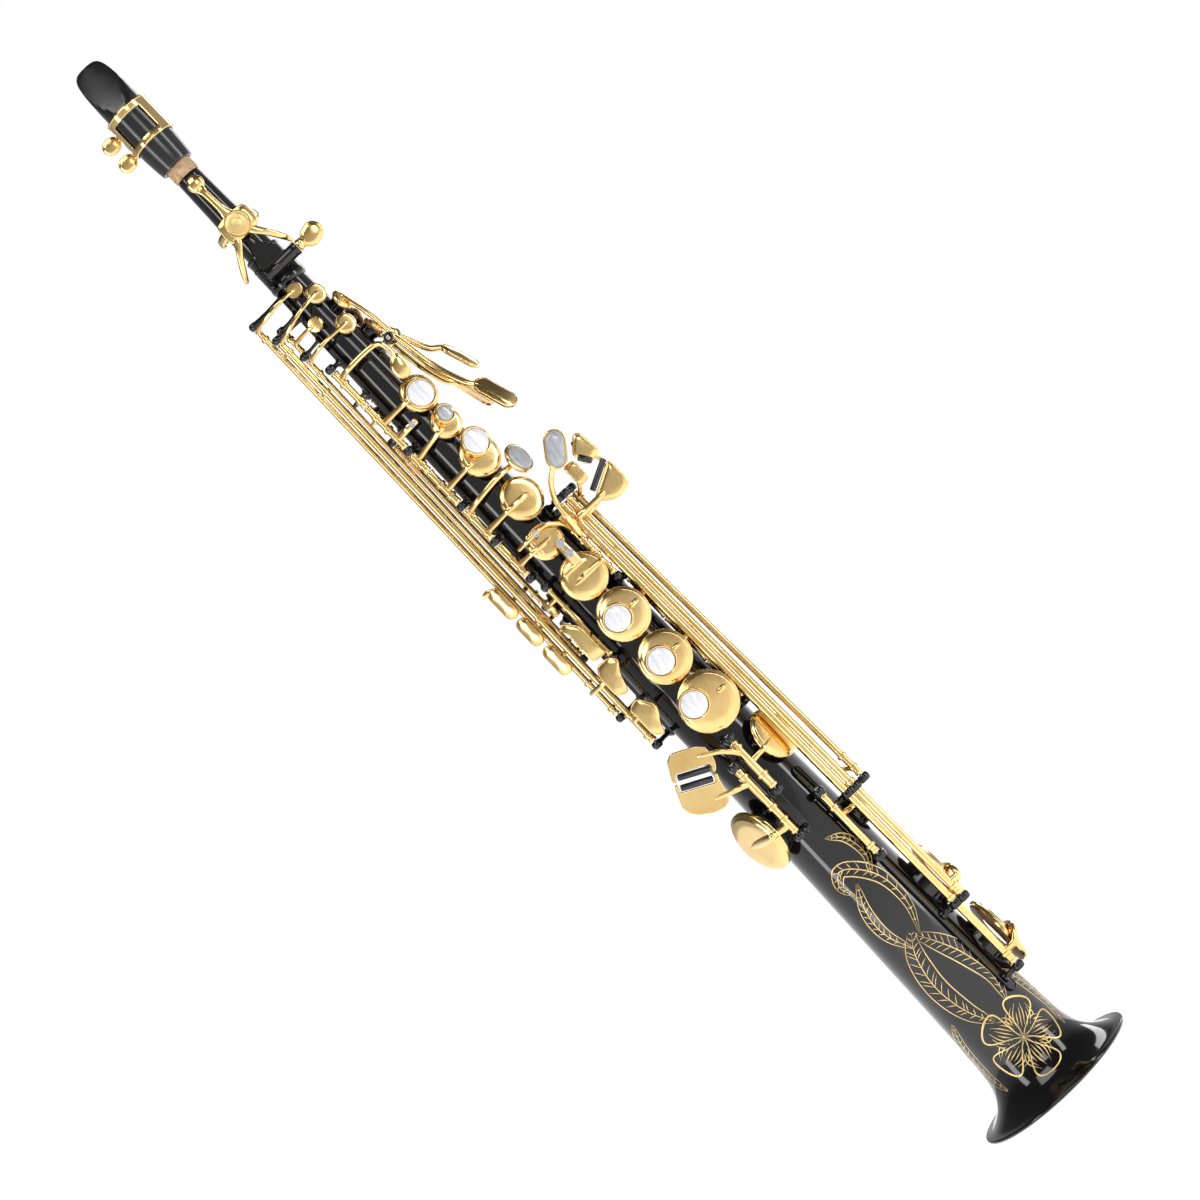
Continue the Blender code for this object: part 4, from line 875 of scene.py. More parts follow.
def make_side_rib():
    deg = -104
    shape, steel = Shape(), Shape()
    add_rib(shape, 256, 352, deg, 5.0)
    add_post(shape, steel, 259.4, deg, HIGH_F_SHARP_LINE, 2.6)
    add_post(shape, steel, 281.4, deg, HIGH_G_LINE, 2.4)
    add_post(shape, steel, 315.4, deg, SIDE_E_LINE, 2.2)
    add_post(shape, steel, 347.4, deg, SIDE_BB_LINE, 2.4)
    add_bent_post(shape, steel, (-20.0, 12.5, 335.6), deg, SIDE_C_LINE, 1.6, -1)
    for line, low, high in ((HIGH_F_SHARP_LINE, 260, 535), (HIGH_G_LINE, 282, 549), (SIDE_E_LINE, 316, 521),
                            (SIDE_C_LINE, 336, 486), (SIDE_BB_LINE, 348, 460)):
        add_pin(steel, line, low, high)
    finish("side_strip", shape, BLACK, "body", ["side_rib"])
    finish("side_rods", steel, STEEL, "body")


# ---- low note keys and the little finger table ----

def add_bell_arm(gold, line, z, cup, swing):
    start = on(line, z)
    edge = shoulder(cup, start, 1.7)
    middle = cup_top(cup, 0.7)
    path = [off_tube(line, z, start + Vector(swing)), start + Vector(swing), edge, middle,
            middle + (middle - edge).normalized() * cup.radius * 0.35]
    gold.sweep(path, [(5.0, 3.2), (4.0, 3.2), (4.2, 3.0), (5.0, 2.0), (1.6, 1.0)])
    gold.lathe([(0, 0), (3.6, 0), (3.4, 0.5), (2.4, 1.0), (1.6, 1.3), (0, 1.4)], cup_top(cup, 0.3),
               radial(cup.deg), 32)


LOW_B_FLAT_PLATE = [(361, 47), (361.6, 42), (365, 37), (369.6, 35.4), (378.4, 52.2), (376.6, 53.3),
                    (366, 53.3), (362.6, 52)]
LOW_B_PLATE = [(385, 53.3), (398.4, 51.6), (399.6, 48.6), (392.4, 41.6), (384.2, 43.2), (383, 46.6)]
LOW_C_SHARP_PLATE = [(378, 34), (378.6, 40.2), (390.4, 40.4), (391, 33.4)]


def make_low_b_flat_key():
    gold, pads = Shape(), Shape()
    line = LOW_B_FLAT_LINE
    start = on(line, 368)
    add_hinge(gold, line, 60.2, 378.4, (66, 104.6, 365.5, 371))
    add_arm(gold, [off_tube(line, 368, start + Vector((1.8, -3.6, 0))), start + Vector((2.0, -3.6, 0)),
                   (27.5, -18.2, 368),
                   (36, -15.4, 368), (46, -14.2, 368)], 3.4, 2.4)
    add_slab(gold, LOW_B_FLAT_PLATE, TABLE_Y, 2.0, 0.7, 0.3)
    add_cup(gold, pads, LOW_B_FLAT_CUP)
    add_bell_arm(gold, line, 67, LOW_B_FLAT_CUP, (7, -1, 1))
    key_pieces("low_b_flat_key", gold, pads)


def make_low_b_key():
    gold, pads = Shape(), Shape()
    line = LOW_B_LINE
    add_hinge(gold, line, 103.6, 378.4, (108, 180.5, 369))
    add_arm(gold, [off_tube(line, 366, (36.5, -8.2, 367)), (36.5, -8.2, 367), (46, -6.4, 369.5),
                   (50.3, -6.6, 377),
                   (50.3, -7.2, 386), (49, -13.6, 391)], 2.4, 2.2, 0.95)
    add_slab(gold, LOW_B_PLATE, TABLE_Y, 2.0, 0.7, 0.3)
    roller = Shape()
    roller.lathe([(0, 0), (1.4, 0), (1.7, 0.4), (1.75, 3.6), (1.7, 6.8), (1.4, 7.2), (0, 7.2)],
                 (46.8, -15.3, 383.6),
                 (-0.55, 0, 0.84), 24)
    finish("low_b_touch_roller", roller, EBONITE, "low_b_key")
    finish("low_b_touch_felt", felt_pad((46.6, -13.0, 395.4), (0.2, 0, 1), 2.0, 3.4), FELT, "low_b_key")
    add_cup(gold, pads, LOW_B_CUP)
    add_bell_arm(gold, line, 110, LOW_B_CUP, (5.5, -0.5, 1))
    key_pieces("low_b_key", gold, pads)


def make_low_c_sharp():
    gold = Shape()
    line = LOW_C_SHARP_LINE
    add_hinge(gold, line, 179.6, 378.4, (184.2, 192, 374.5))
    add_arm(gold, [off_tube(line, 375.6, (34.4, -11.6, 379)), (33.2, -10.6, 378.0), (36.6, -13.8, 384)],
            2.4, 2.2, 0.9)
    start = on(line, 184)
    add_arm(gold, [off_tube(line, 184, start + Vector((-3.4, 3.2, 0))), start + Vector((-3.4, 3.2, 2)),
                   start + Vector((-7, 5.2, 6))], 2.6, 2.2, 0.9)
    add_slab(gold, LOW_C_SHARP_PLATE, TABLE_Y, 2.0, 0.7, 0.3, 2.4)
    key_pieces("low_c_sharp_lever", gold)
    finish("low_c_sharp_lever_felt", felt_pad(start + Vector((-7.2, 5.3, 7)), (0, 0, 1), 1.3, 1.4), FELT,
           "low_c_sharp_lever")
    gold, pads = Shape(), Shape()
    line = C_SHARP_PAD_LINE
    add_hinge(gold, line, 146.6, 185.4, (151, 177))
    add_cup(gold, pads, C_SHARP_CUP)
    edge = at(170, 60, tube_radius(168) + 4.8)
    middle = cup_top(C_SHARP_CUP, 0.3)
    gold.sweep([off_tube(line, 172, edge), on(line, 172).lerp(edge, 0.5) + outward_at(edge) * 0.3, edge,
                middle,
                middle + (middle - edge).normalized() * 4],
               [(3.4, 1.8), (2.6, 1.6), (2.6, 1.5), (3.0, 1.2), (0.6, 0.6)])
    key_pieces("low_c_sharp_key", gold, pads)


def felt_pad(centre, axis, radius, thick):
    shape = Shape()
    shape.lathe([(0, -thick / 2), (radius * 0.9, -thick / 2), (radius, -thick * 0.3), (radius * 1.03, 0),
                 (radius, thick * 0.3), (radius * 0.9, thick / 2), (0, thick / 2)], centre, axis, 24)
    return shape


EB_PLATE = [(230.8, -15.2), (234, -12.6), (238, -11.2), (243.5, -11.2), (247, -14.5), (252.6, -26),
            (250.5, -30), (243, -34.2), (240.6, -34.9), (239.8, -33.2), (243.6, -31.2), (235.4, -14.9),
            (231.5, -16.9)]
LOW_C_PLATE = [(214.8, -24.5), (216, -20.6), (221, -18.2), (226.5, -17), (229.9, -15.6), (230.7, -17.4),
               (226.9, -19.3), (235.2, -35.5), (239, -33.6), (239.8, -35.2), (236, -37), (229, -40),
               (225, -39.6), (221, -36.5), (216.4, -30)]


def make_foot_keys():
    gold, pads = Shape(), Shape()
    line = EB_LINE
    add_hinge(gold, line, 205.6, 235.2, (213.5, 231.5))
    add_arm(gold, [off_tube(line, 229, (-3.5, -30.5, 232)), (-3.5, -29.8, 232.6), (-8, -30, 237),
                   (-17, -28.6, 242)], 3.0, 2.2)
    add_slab(gold, EB_PLATE, FOOT_Y, 2.2, 0.5, 0.0, 1.4)
    add_cup(gold, pads, EB_CUP)
    edge = at(222.6, 22, 27.2)
    middle = cup_top(EB_CUP, 0.4)
    gold.sweep([off_tube(line, 222, edge), on(line, 222).lerp(edge, 0.5) + outward_at(edge) * 0.8, edge,
                edge.lerp(middle, 0.6)], [(3.6, 2.4), (2.9, 2.2), (3.0, 1.8), (1.0, 0.8)])
    key_pieces("eb_key", gold, pads)
    gold, pads = Shape(), Shape()
    line = LOW_C_LINE
    add_hinge(gold, line, 181.8, 223.4, (190.5, 198.5, 219))
    add_arm(gold, [off_tube(line, 215, (-14, -30, 217)), (-14, -29.0, 217), (-25, -28.6, 221)], 3.2, 2.2)
    add_slab(gold, LOW_C_PLATE, FOOT_Y, 2.2, 0.5, 0.0, 1.4)
    add_cup(gold, pads, LOW_C_CUP)
    add_cup_arm(gold, line, 187, LOW_C_CUP, 3.6)
    key_pieces("low_c_key", gold, pads)


def make_roller(name, body, low, high, radius):
    """Roller with crowned ends on a steel pin."""
    low, high = Vector(low), Vector(high)
    length = (high - low).length
    shape, pin = Shape(), Shape()
    shape.lathe([(0.45, 0.2), (radius - 0.35, 0.2), (radius - 0.08, 0.4), (radius, 0.8),
                 (radius * 1.02, length / 2),
                 (radius, length - 0.8), (radius - 0.08, length - 0.4), (radius - 0.35, length - 0.2),
                 (0.45, length - 0.2)],
                low, high - low, 28, loop=True)
    pin.lathe([(0, 0), (0.4, 0), (0.4, length), (0, length)], low, high - low, 12)
    finish(name + "_barrel", shape, EBONITE, name, [name])
    finish(name + "_pin", pin, STEEL, body)


# ---- stack keys ----

def stack_key(name, line, low, high, cup, arm_z, seat=None, material=None, inset=0.9, width=2.9,
              collars=()):
    gold, pads = Shape(), Shape()
    add_hinge(gold, line, low, high, collars)
    add_cup(gold, pads, cup)
    add_cup_arm(gold, line, arm_z, cup, width, inset, 0.0 if seat else 0.35)
    if seat:
        z, deg, radius = seat
        rho = cup_rho(cup) + 2.6
        add_seat(gold, z, deg, rho, radius)
        pearl(name.replace("_key", "_pearl"), name, z, deg, rho, radius, material)
    return gold, pads


def make_lower_stack():
    line = LOWER_STACK_LINE
    parts = stack_key("d_key", line, 247.8, 272.0, D_CUP, 258, (262, -1, 8.2), WHITE_PEARL, 0.6,
                      collars=(254, 262))
    key_pieces("d_key", *parts)
    parts = stack_key("e_key", line, 272.6, 302.0, E_CUP, 288.5, (288.5, 5, 8.2), WHITE_PEARL, 0.5, 2.6,
                      (284.5, 292.5))
    key_pieces("e_key", *parts)
    parts = stack_key("f_key", line, 302.6, 329.0, F_CUP, 319, (318.4, 3.4, 8.0), WHITE_PEARL, 0.52, 2.6,
                      (315, 323))
    key_pieces("f_key", *parts)
    gold, pads = stack_key("f_sharp_key", FRONT_LINE, 336.0, 350.4, F_SHARP_CUP, 344.5,
                           collars=(340.5, 348.2))
    top = cup_rho(F_SHARP_CUP)
    gold.sweep([cup_top(F_SHARP_CUP, 0.5), at(344.7, 4, top + 0.8), at(344.5, -4, top + 0.5)],
               [(3.4, 1.8), (3.0, 1.8), (0.8, 0.8)])
    steel = Shape()
    gold.sweep([on(FRONT_LINE, 349.6), (12.6, -19.6, 350.4), (6, -23.8, 351.4), (-2.5, -24.4, 351.6)],
               [(3.2, 2.4), (3.2, 2.4), (3.4, 2.4), (3.2, 2.2)])
    gold.sweep([(6.6, -24.0, 351.8), (6.8, -24.6, 358), (6.8, -24.4, 366)],
               [(5.4, 1.9), (5.4, 1.9), (4.6, 1.8)])
    add_screw(steel, (6.9, -25.4, 358.0), (0, -1, 0), 2.2, 1.0)
    add_screw(steel, (6.8, -25.2, 364.6), (0, -1, 0), 2.2, 1.0)
    key_pieces("f_sharp_key", gold, pads, steel)


def make_g_sharp():
    gold, steel = Shape(), Shape()
    line = FRONT_LINE
    add_hinge(gold, line, 351.0, 374.2, (357.5, 364.5))
    add_arm(gold, [off_tube(line, 361, (17.4, -18.8, 362)), (17.4, -18.0, 362), (18.6, -20.4, 370),
                   (19.4, -20.4, 380),
                   (24, -19.2, 389), (32, -18.2, 395.5)], 3.0, 2.2, 0.95)
    add_leaf(gold, 20, 11.4, 1.8, (37.5, -18.5, 400), (0, -1, 0), (12, 0, 16), 0.0)
    add_arm(gold, [off_tube(line, 366, (13.5, -20, 370)), (13.5, -20, 372), (7, -24.8, 376.5),
                   (-3, -25.8, 376.5),
                   (-10, -21.6, 376.5)], 2.4, 2.0, 0.95)
    add_screw(steel, (1.6, -26.2, 376.5), (0, -1, 0), 1.9, 0.9)
    key_pieces("g_sharp_lever", gold, None, steel)
    disc = Shape()
    disc.slab(stadium(17.6, 9.2, 16), 1.5, turn_to((37.5, -20.45, 400), (0, -1, 0), (12, 0, 16)), 0.6, 0.5)
    # The G sharp pearl gets the darker pearl copy, which is painted shade.
    finish("g_sharp_pearl_disc", disc, PAINTED_SHADE_PEARL, "g_sharp_lever", ["g_sharp_pearl"])
    gold, pads = stack_key("g_sharp_key", UPPER_STACK_LINE, 365.0, 385.6, G_SHARP_CUP, 371,
                           collars=(369, 375.5))
    top = cup_rho(G_SHARP_CUP)
    gold.sweep([at(366.4, -9, top + 0.5), at(371, -8, top + 0.7), at(378.6, -8, top + 0.5)],
               [(3.2, 1.6), (3.0, 1.6), (2.2, 1.2)])
    key_pieces("g_sharp_key", gold, pads)


def make_upper_stack():
    line = UPPER_STACK_LINE
    gold, pads = stack_key("g_key", line, 390.4, 409.6, G_CUP, 394, collars=(394, 404))
    z, deg, rho, radius = 409.5, 54, 27.0, 8.4
    add_seat(gold, z, deg, rho, radius)
    add_arm(gold, [off_tube(line, 407, (-9, -21, 408)), (-9, -20.6, 408), (6, -23.8, z), (16.5, -17.8, z)],
            2.8, 2.2, 1.0)
    # The G pearl gets the darker pearl copy, which is painted shade.
    pearl("g_pearl", "g_key", z, deg, rho, radius, PAINTED_SHADE_PEARL)
    key_pieces("g_key", gold, pads)
    parts = stack_key("a_key", line, 414.4, 435.6, A_CUP, 423, (430.2, 29, 8.0), WHITE_PEARL,
                      collars=(419.5, 427))
    key_pieces("a_key", *parts)
    # The bis pearl gets the darker pearl copy, which is painted shade.
    parts = stack_key("bis_key", line, 436.2, 447.6, BIS_CUP, 444, (450.6, 26, 5.4), PAINTED_SHADE_PEARL,
                      collars=(440.5,))
    key_pieces("bis_key", *parts)
    gold, pads = stack_key("b_key", line, 452.4, 480.0, B_CUP, 468.5, (466, 22, 8.2), WHITE_PEARL,
                           collars=(464.5, 473))
    steel = Shape()
    add_arm(gold, [off_tube(line, 458, (-9, -18.6, 458)), (-9, -18.4, 458), (-2.5, -19.4, 458)], 3.4, 2.0,
            1.0)
    add_screw(steel, (-5.2, -19.9, 458), (0, -1, 0), 1.7, 0.9)
    key_pieces("b_key", gold, pads, steel)
    gold = Shape()
    add_hinge(gold, line, 480.6, 503.8, (484.5, 496))
    drop = [(490, 13), (488, 8), (483, 5.4), (478, 6), (475.6, 10), (478, 14), (483, 15), (488, 14.6)]
    add_slab(gold, drop, -21, 2.0, 0.6, 0.8, 3.0)
    add_arm(gold, [off_tube(line, 499, (-9, -19.5, 499.5)), (-9, -19.3, 499.5), (4, -21.6, 499.5),
                   (11, -21.6, 497.5),
                   (12.6, -21.2, 489)], 2.9, 2.2, 0.95)
    key_pieces("front_f_lever", gold)


# ---- side, high and trill keys ----

SIDE_FACE = (-0.45, -0.89, 0)


def make_side_keys():
    for name, line, low, high, touch_z, length, reach, cup, over, collars in (
            ("side_e_key", SIDE_E_LINE, 317.9, 519.0, 324, 18, [(-28.4, -3.4, 324), (-34, -4.8, 324)],
             SIDE_E_CUP,
             [(-19, -10, 516.5), (-10, -18.4, 517.2)], (321, 327, 510)),
            ("side_c_key", SIDE_C_LINE, 338.2, 484.0, 343.6, 17,
             [(-24, 17, 341.4), (-34.5, 6, 342), (-36, -4.4, 343.5)],
             SIDE_C_CUP, [(-19.4, 12.4, 474)], (344, 470)),
            ("side_b_flat_key", SIDE_BB_LINE, 350.0, 458.2, 363, 19,
             [(-28, 9.4, 361), (-35, 4, 362), (-36, -4.4, 363)],
             SIDE_BB_CUP, [], (356, 450))):
        gold, pads = Shape(), Shape()
        add_hinge(gold, line, low, high, collars)
        root_z = reach[0][2]
        add_arm(gold, [off_tube(line, root_z, reach[0])] + reach, 2.4, 2.0, 0.95)
        add_leaf(gold, length, 7.6, 1.8, (-34.5, -6.0, touch_z), SIDE_FACE, (0, 0, 1), 0.5)
        if cup is SIDE_BB_CUP:
            gold.sweep([(-34.6, -5.6, 369), (-36.2, -4.8, 371.6), (-39.4, -4.2, 372.6)],
                       [(5.4, 2.0), (4.4, 2.0), (1.4, 1.2)],
                       facing=SIDE_FACE)
        add_cup(gold, pads, cup)
        if over:
            path = [off_tube(line, over[0][2], over[0])] + over + [cup_top(cup, 0.4)]
        else:
            path = [off_tube(line, cup.z, cup_top(cup)), on(line, cup.z).lerp(cup_top(cup, 1.4), 0.6),
                    cup_top(cup, 0.5)]
        add_arm(gold, path, 2.2, 1.9, 0.9)
        key_pieces(name, gold, pads)


def make_high_keys():
    for name, line, low, high, corners, touch_y, reach, cup, over, collars in (
            ("high_f_sharp_key", HIGH_F_SHARP_LINE, 261.8, 533.2,
             [(261, -21.5), (262, -20), (267, -18.5), (271.5, -14.8), (276, -14.3), (283, -18.5),
              (283.5, -21),
              (282, -25.7), (265, -25.7)], -21.5,
             [(-26.5, -15, 276), (-21.5, -21, 276)], HIGH_F_SHARP_CUP,
             [(-19.5, -16, 533.6), (-6, -20.4, 536.5)],
             (266, 280, 345, 500, 527)),
            ("high_g_key", HIGH_G_LINE, 283.8, 547.2,
             [(288.4, -20.5), (290, -18.5), (298, -16), (304, -11.6), (308.2, -15), (308.2, -22.6),
              (303, -25.6), (291, -25.4)], -21.5,
             [(-33.5, -8, 300), (-28.6, -17.5, 300), (-21.5, -21.2, 300)], HIGH_G_CUP,
             [(-26, -12, 546), (-12, -19, 546.8)], (288, 305, 541)),
            ("f_sharp_trill_key", TRILL_LINE, 307.8, 352.2,
             [(309.8, -14), (316, -14.2), (327, -14.2), (331, -15.8), (335.7, -20), (334, -24),
              (331.6, -21.4), (316.4, -22.6), (311, -22)], -20.5,
             [(-14.5, -19.4, 322), (-18, -20.3, 322)], TRILL_CUP, [(-17.6, -13, 346.4)], (317, 340))):
        gold, pads = Shape(), Shape()
        add_hinge(gold, line, low, high, collars)
        add_slab(gold, corners, touch_y, 1.8, 0.6, 0.3, 2.2)
        add_arm(gold, [off_tube(line, reach[0][2], reach[0])] + reach, 2.6, 2.2, 0.95)
        add_cup(gold, pads, cup)
        add_arm(gold, [off_tube(line, over[0][2], over[0])] + over + [cup_top(cup, 0.4)], 2.3, 1.9, 0.8)
        key_pieces(name, gold, pads)


def make_octave_keys():
    gold, pads = Shape(), Shape()
    line = BODY_OCTAVE_LINE
    add_hinge(gold, line, 523.9, 536.2, (533,))
    add_cup(gold, pads, BODY_OCTAVE_CUP)
    add_arm(gold, [off_tube(line, 529, (-18.4, -4, 528.6)), (-18.4, -4, 528.6), (-12.6, -13.0, 528),
                   (-7.8, -16.6, 527.6), cup_top(BODY_OCTAVE_CUP, 0.4)], 2.1, 1.8, 0.9)
    key_pieces("body_octave_key", gold, pads)
    gold = Shape()
    line = THUMB_OCTAVE_LINE
    add_hinge(gold, line, 446.2, 474.0, (456, 470))
    add_leaf(gold, 22, 12, 2.0, (-3.5, 22.4, 452), (0, 1, 0), (0, 0, 1), 0.9)
    add_arm(gold, [off_tube(line, 456, (5, 21.4, 456)), (5, 21.2, 456), (-0.5, 22.2, 455)], 3.0, 2.2)
    add_arm(gold, [off_tube(line, 470, (13.4, 15.6, 471)), (11.6, 16.2, 471.5), (13.4, 15.6, 475)], 2.2,
            2.0)
    key_pieces("thumb_octave_lever", gold)


# ---- palm keys ----

PALM_Z = 498.0
PALM_RHO = 20.0
PALM_HALF = 2.9
PALM_KEYS = (
    ("palm_f_key", PALM_F_CUP, 441, 39, ((456, 31), (472, 25)), 22),
    ("palm_d_key", PALM_D_CUP, 468, 36, ((482, 27),), 20),
    ("palm_e_flat_key", PALM_EB_CUP, 452, 37, ((466, 29), (480, 24)), 22),
)


def make_palm_keys():
    for name, cup, leaf_z, leaf_rho, mid, length in PALM_KEYS:
        gold, pads = Shape(), Shape()
        deg = cup.deg
        centre, across = at(PALM_Z, deg, PALM_RHO), tangent(deg)
        span = 2 * PALM_HALF
        gold.lathe([(0.9, 0), (2.3, 0), (2.5, 0.3), (2.5, 1.0), (2.2, 1.2), (2.2, span - 1.2),
                    (2.5, span - 1.0),
                    (2.5, span - 0.3), (2.3, span), (0.9, span)], centre - across * PALM_HALF, across, 28,
                   loop=True)
        out = radial(deg)
        low = [at(leaf_z + 3, deg, leaf_rho - 1.2), at(leaf_z + 9, deg, leaf_rho - 3.4)]
        low += [at(z, deg, rho) for z, rho in mid] + [centre + out * 1.0 - Vector((0, 0, 1.8))]
        gold.sweep(low, [(6.6, 1.8), (4.8, 2.8)] + [(4.0, 3.2)] * len(mid) + [(4.0, 2.6)])
        high = [centre + out * 0.9 + Vector((0, 0, 1.8)), at((PALM_Z + cup.z) / 2, deg, PALM_RHO - 0.6),
                cup_top(cup, 0.5),
                cup_top(cup, 0.4) + Vector((0, 0, cup.radius * 0.5))]
        gold.sweep(high, [(3.6, 2.4), (3.0, 2.4), (2.8, 1.8), (0.8, 0.8)])
        lean = Vector((0, 0, 1)) - out * 0.3
        face = (radial(deg - 26) + Vector((0, 0, 0.3))).normalized()
        add_leaf(gold, length + 2, 10.6, 2.0, at(leaf_z, deg, leaf_rho), face, lean, 0.9, 0.6)
        add_cup(gold, pads, cup)
        key_pieces(name, gold, pads)


def make_palm_rib():
    shape, steel = Shape(), Shape()
    rise = tube_radius(PALM_Z) + GAP + 1.0
    ring = [at(PALM_Z, deg, rise) for deg in range(46, 158, 8)]
    shape.sweep(ring, [(5.4, 1.8)] * len(ring), square=4.0)
    for _, cup, *_ in PALM_KEYS:
        centre, across = at(PALM_Z, cup.deg, PALM_RHO), tangent(cup.deg)
        for side in (-1, 1):
            inner = centre + across * side * (PALM_HALF + 0.35)
            middle = inner + across * side * 0.9
            shape.lathe([(0.8, -0.9), (2.2, -0.9), (2.5, -0.6), (2.6, 0), (2.5, 0.6), (2.2, 0.9),
                         (0.8, 0.9)], middle, across, 24,
                        loop=True)
            foot = at(PALM_Z, cup.deg + side * 17, tube_radius(PALM_Z) + 1.4)
            shape.lathe([(0, 0), (1.5, 0), (1.3, 0.6), (0.9, 1.4), (0.9, (middle - foot).length - 1.8),
                         (0, (middle - foot).length - 1.6)],
                        foot, middle - foot, 18)
            add_screw(steel, middle + across * side * 0.75, across * side, 1.2, 0.3, (0, 0, 1))
        steel.lathe([(0, 0), (PIN, 0), (PIN, 9.2), (0, 9.2)], centre - across * 4.6, across, 14)
    finish("palm_ring", shape, BLACK, "body", ["palm_rib"])
    finish("palm_rods", steel, STEEL, "body")


# ---- back of the tube ----

def make_back_pieces():
    deg = 158
    shape, steel = Shape(), Shape()
    add_rib(shape, 440, 480, deg, 4.0)
    add_post(shape, steel, 443.6, deg, THUMB_OCTAVE_LINE, 2.4)
    add_post(shape, steel, 476.6, deg, THUMB_OCTAVE_LINE, 2.4, screw=1)
    add_pin(steel, THUMB_OCTAVE_LINE, 444, 476)
    finish("octave_strip", shape, BLACK, "body", ["octave_rib"])
    finish("octave_rods", steel, STEEL, "body")
    rest = Shape()
    z = 424.0
    outward = radial(184)
    rest.lathe([(0, 5.3), (3.0, 5.25), (5.2, 5.0), (6.6, 4.5), (7.3, 3.7), (7.5, 3.0), (7.2, 2.4),
                (6.0, 2.1), (3.6, 1.9),
                (3.0, 1.4), (3.0, 0), (0, 0)], at(z, 184, tube_radius(z) + 2 * GAP), outward, 48)
    finish("thumb_rest_disc", rest, EBONITE, "body", ["thumb_rest"])
    hook, screws = Shape(), Shape()
    z = 330.0
    base = at(z, 180, tube_radius(z) + GAP + 0.9)
    hook.slab(stadium(26, 7, 12), 1.6, turn_to(base, (0, 1, 0), (0, 0, 1)), 0.5)
    hook.sweep([base + Vector((0, -0.4, 0)), base + Vector((0, 6, 2)), base + Vector((-1, 15, 8)),
                base + Vector((-3, 24, 6))],
               [(7.0, 4.4), (6.0, 4.6), (5.6, 4.6), (5.0, 3.6)], facing=(0, 0, 1), square=3.0)
    for side in (-1, 1):
        add_screw(screws, base + Vector((0, 0.8, side * 9.5)), (0, 1, 0), 1.9, 0.8)
    finish("thumb_hook_brass", hook, GOLD, "body", ["thumb_hook"])
    strap = Shape()
    base = at(376.0, 180, tube_radius(376.0) + GAP + 0.8)
    strap.slab(stadium(18, 6.4, 12), 1.4, turn_to(base, (0, 1, 0), (0, 0, 1)), 0.45)
    centre = base + Vector((0, 7.0, 0))
    turns = [math.tau * i / 48 for i in range(48)]
    strap.rings([[centre + Vector((1.3 * math.sin(b), (5.6 + 1.3 * math.cos(b)) * math.cos(a),
                                   (5.6 + 1.3 * math.cos(b)) * math.sin(a)))
                  for b in (math.tau * k / 16 for k in range(16))] for a in turns],
                join_ends=True)
    finish("strap_ring_brass", strap, GOLD, "body", ["strap_ring"])
    for side in (-1, 1):
        add_screw(screws, base + Vector((0, 0.7, side * 7.0)), (0, 1, 0), 1.3, 0.6)
    finish("back_screws", screws, STEEL, "body")


# ---- receiver, neck, mouthpiece ----

def make_receiver():
    shell = Shape()
    inside = tube_radius(551.8) + 0.35
    shell.lathe([(8.7, 574.0), (9.5, 574.0), (9.9, 573.6), (9.9, 572.2), (9.6, 571.9), (9.6, 567.0),
                 (10.0, 566.6),
                 (10.1, 556.0), (10.4, 555.4), (10.4, 553.2), (10.0, 552.3), (9.4, 551.8), (inside, 551.8),
                 (inside, 566.0), (8.7, 566.6)], (0, 0, 0), (0, 0, 1), 96, loop=True)
    shell.lathe([(1.7, 0), (3.3, 0), (3.75, 0.4), (3.75, 1.6), (3.5, 2.0), (3.5, 19.0), (3.75, 19.4),
                 (3.75, 20.9), (3.4, 21.3),
                 (1.7, 21.3)], (-6.4, -12.2, 561.5), (1, 0, 0), 40, loop=True)
    shell.slab(round_outline([(-6.4, -2.6), (6.8, -2.6), (8.0, -1.8), (8.0, 1.8), (6.8, 2.6), (-6.4, 2.6)],
                             2), 2.6,
               turn_to((0.6, -10.6, 561.5), (0, -1, 0), (1, 0, 0)), 0.5)
    shell.slab(round_outline([(-9.0, -5.0), (-9.0, 5.0), (-4.0, 7.4), (1.0, 6.4), (7.0, 1.6), (8.2, 0.0),
                              (7.0, -1.6),
                              (1.0, -6.4), (-4.0, -7.4)], 2), 1.2,
               turn_to((1.4, -10.1, 570.5), (0, -1, 0), (0, 0, 1)), 0.4)
    for z in (556.0, 566.4):
        shell.ball((-8.4, -9.0, z), 1.5, (0, 0, 1), 20)
    finish("receiver_clamp", shell, BLACK, "body", ["neck_receiver"])
    screw = Shape()
    screw.lathe([(0, -4.5), (1.2, -4.3), (1.25, 15.2), (2.4, 15.3), (3.2, 15.7), (3.3, 16.6), (2.9, 17.2),
                 (3.1, 18.0),
                 (2.6, 18.9), (1.5, 19.8), (1.3, 21.5), (0, 21.5)], (0, -12.2, 561.5), (1, 0, 0), 32)
    screw.slab(stadium(13, 10.8, 18), 2.4, turn_to((24.6, -12.2, 561.5), (0, -1, 0), (0.96, 0, 0.28)), 0.9,
               0.6)
    finish("neck_screw_brass", screw, GOLD, "neck_screw", ["neck_screw"])


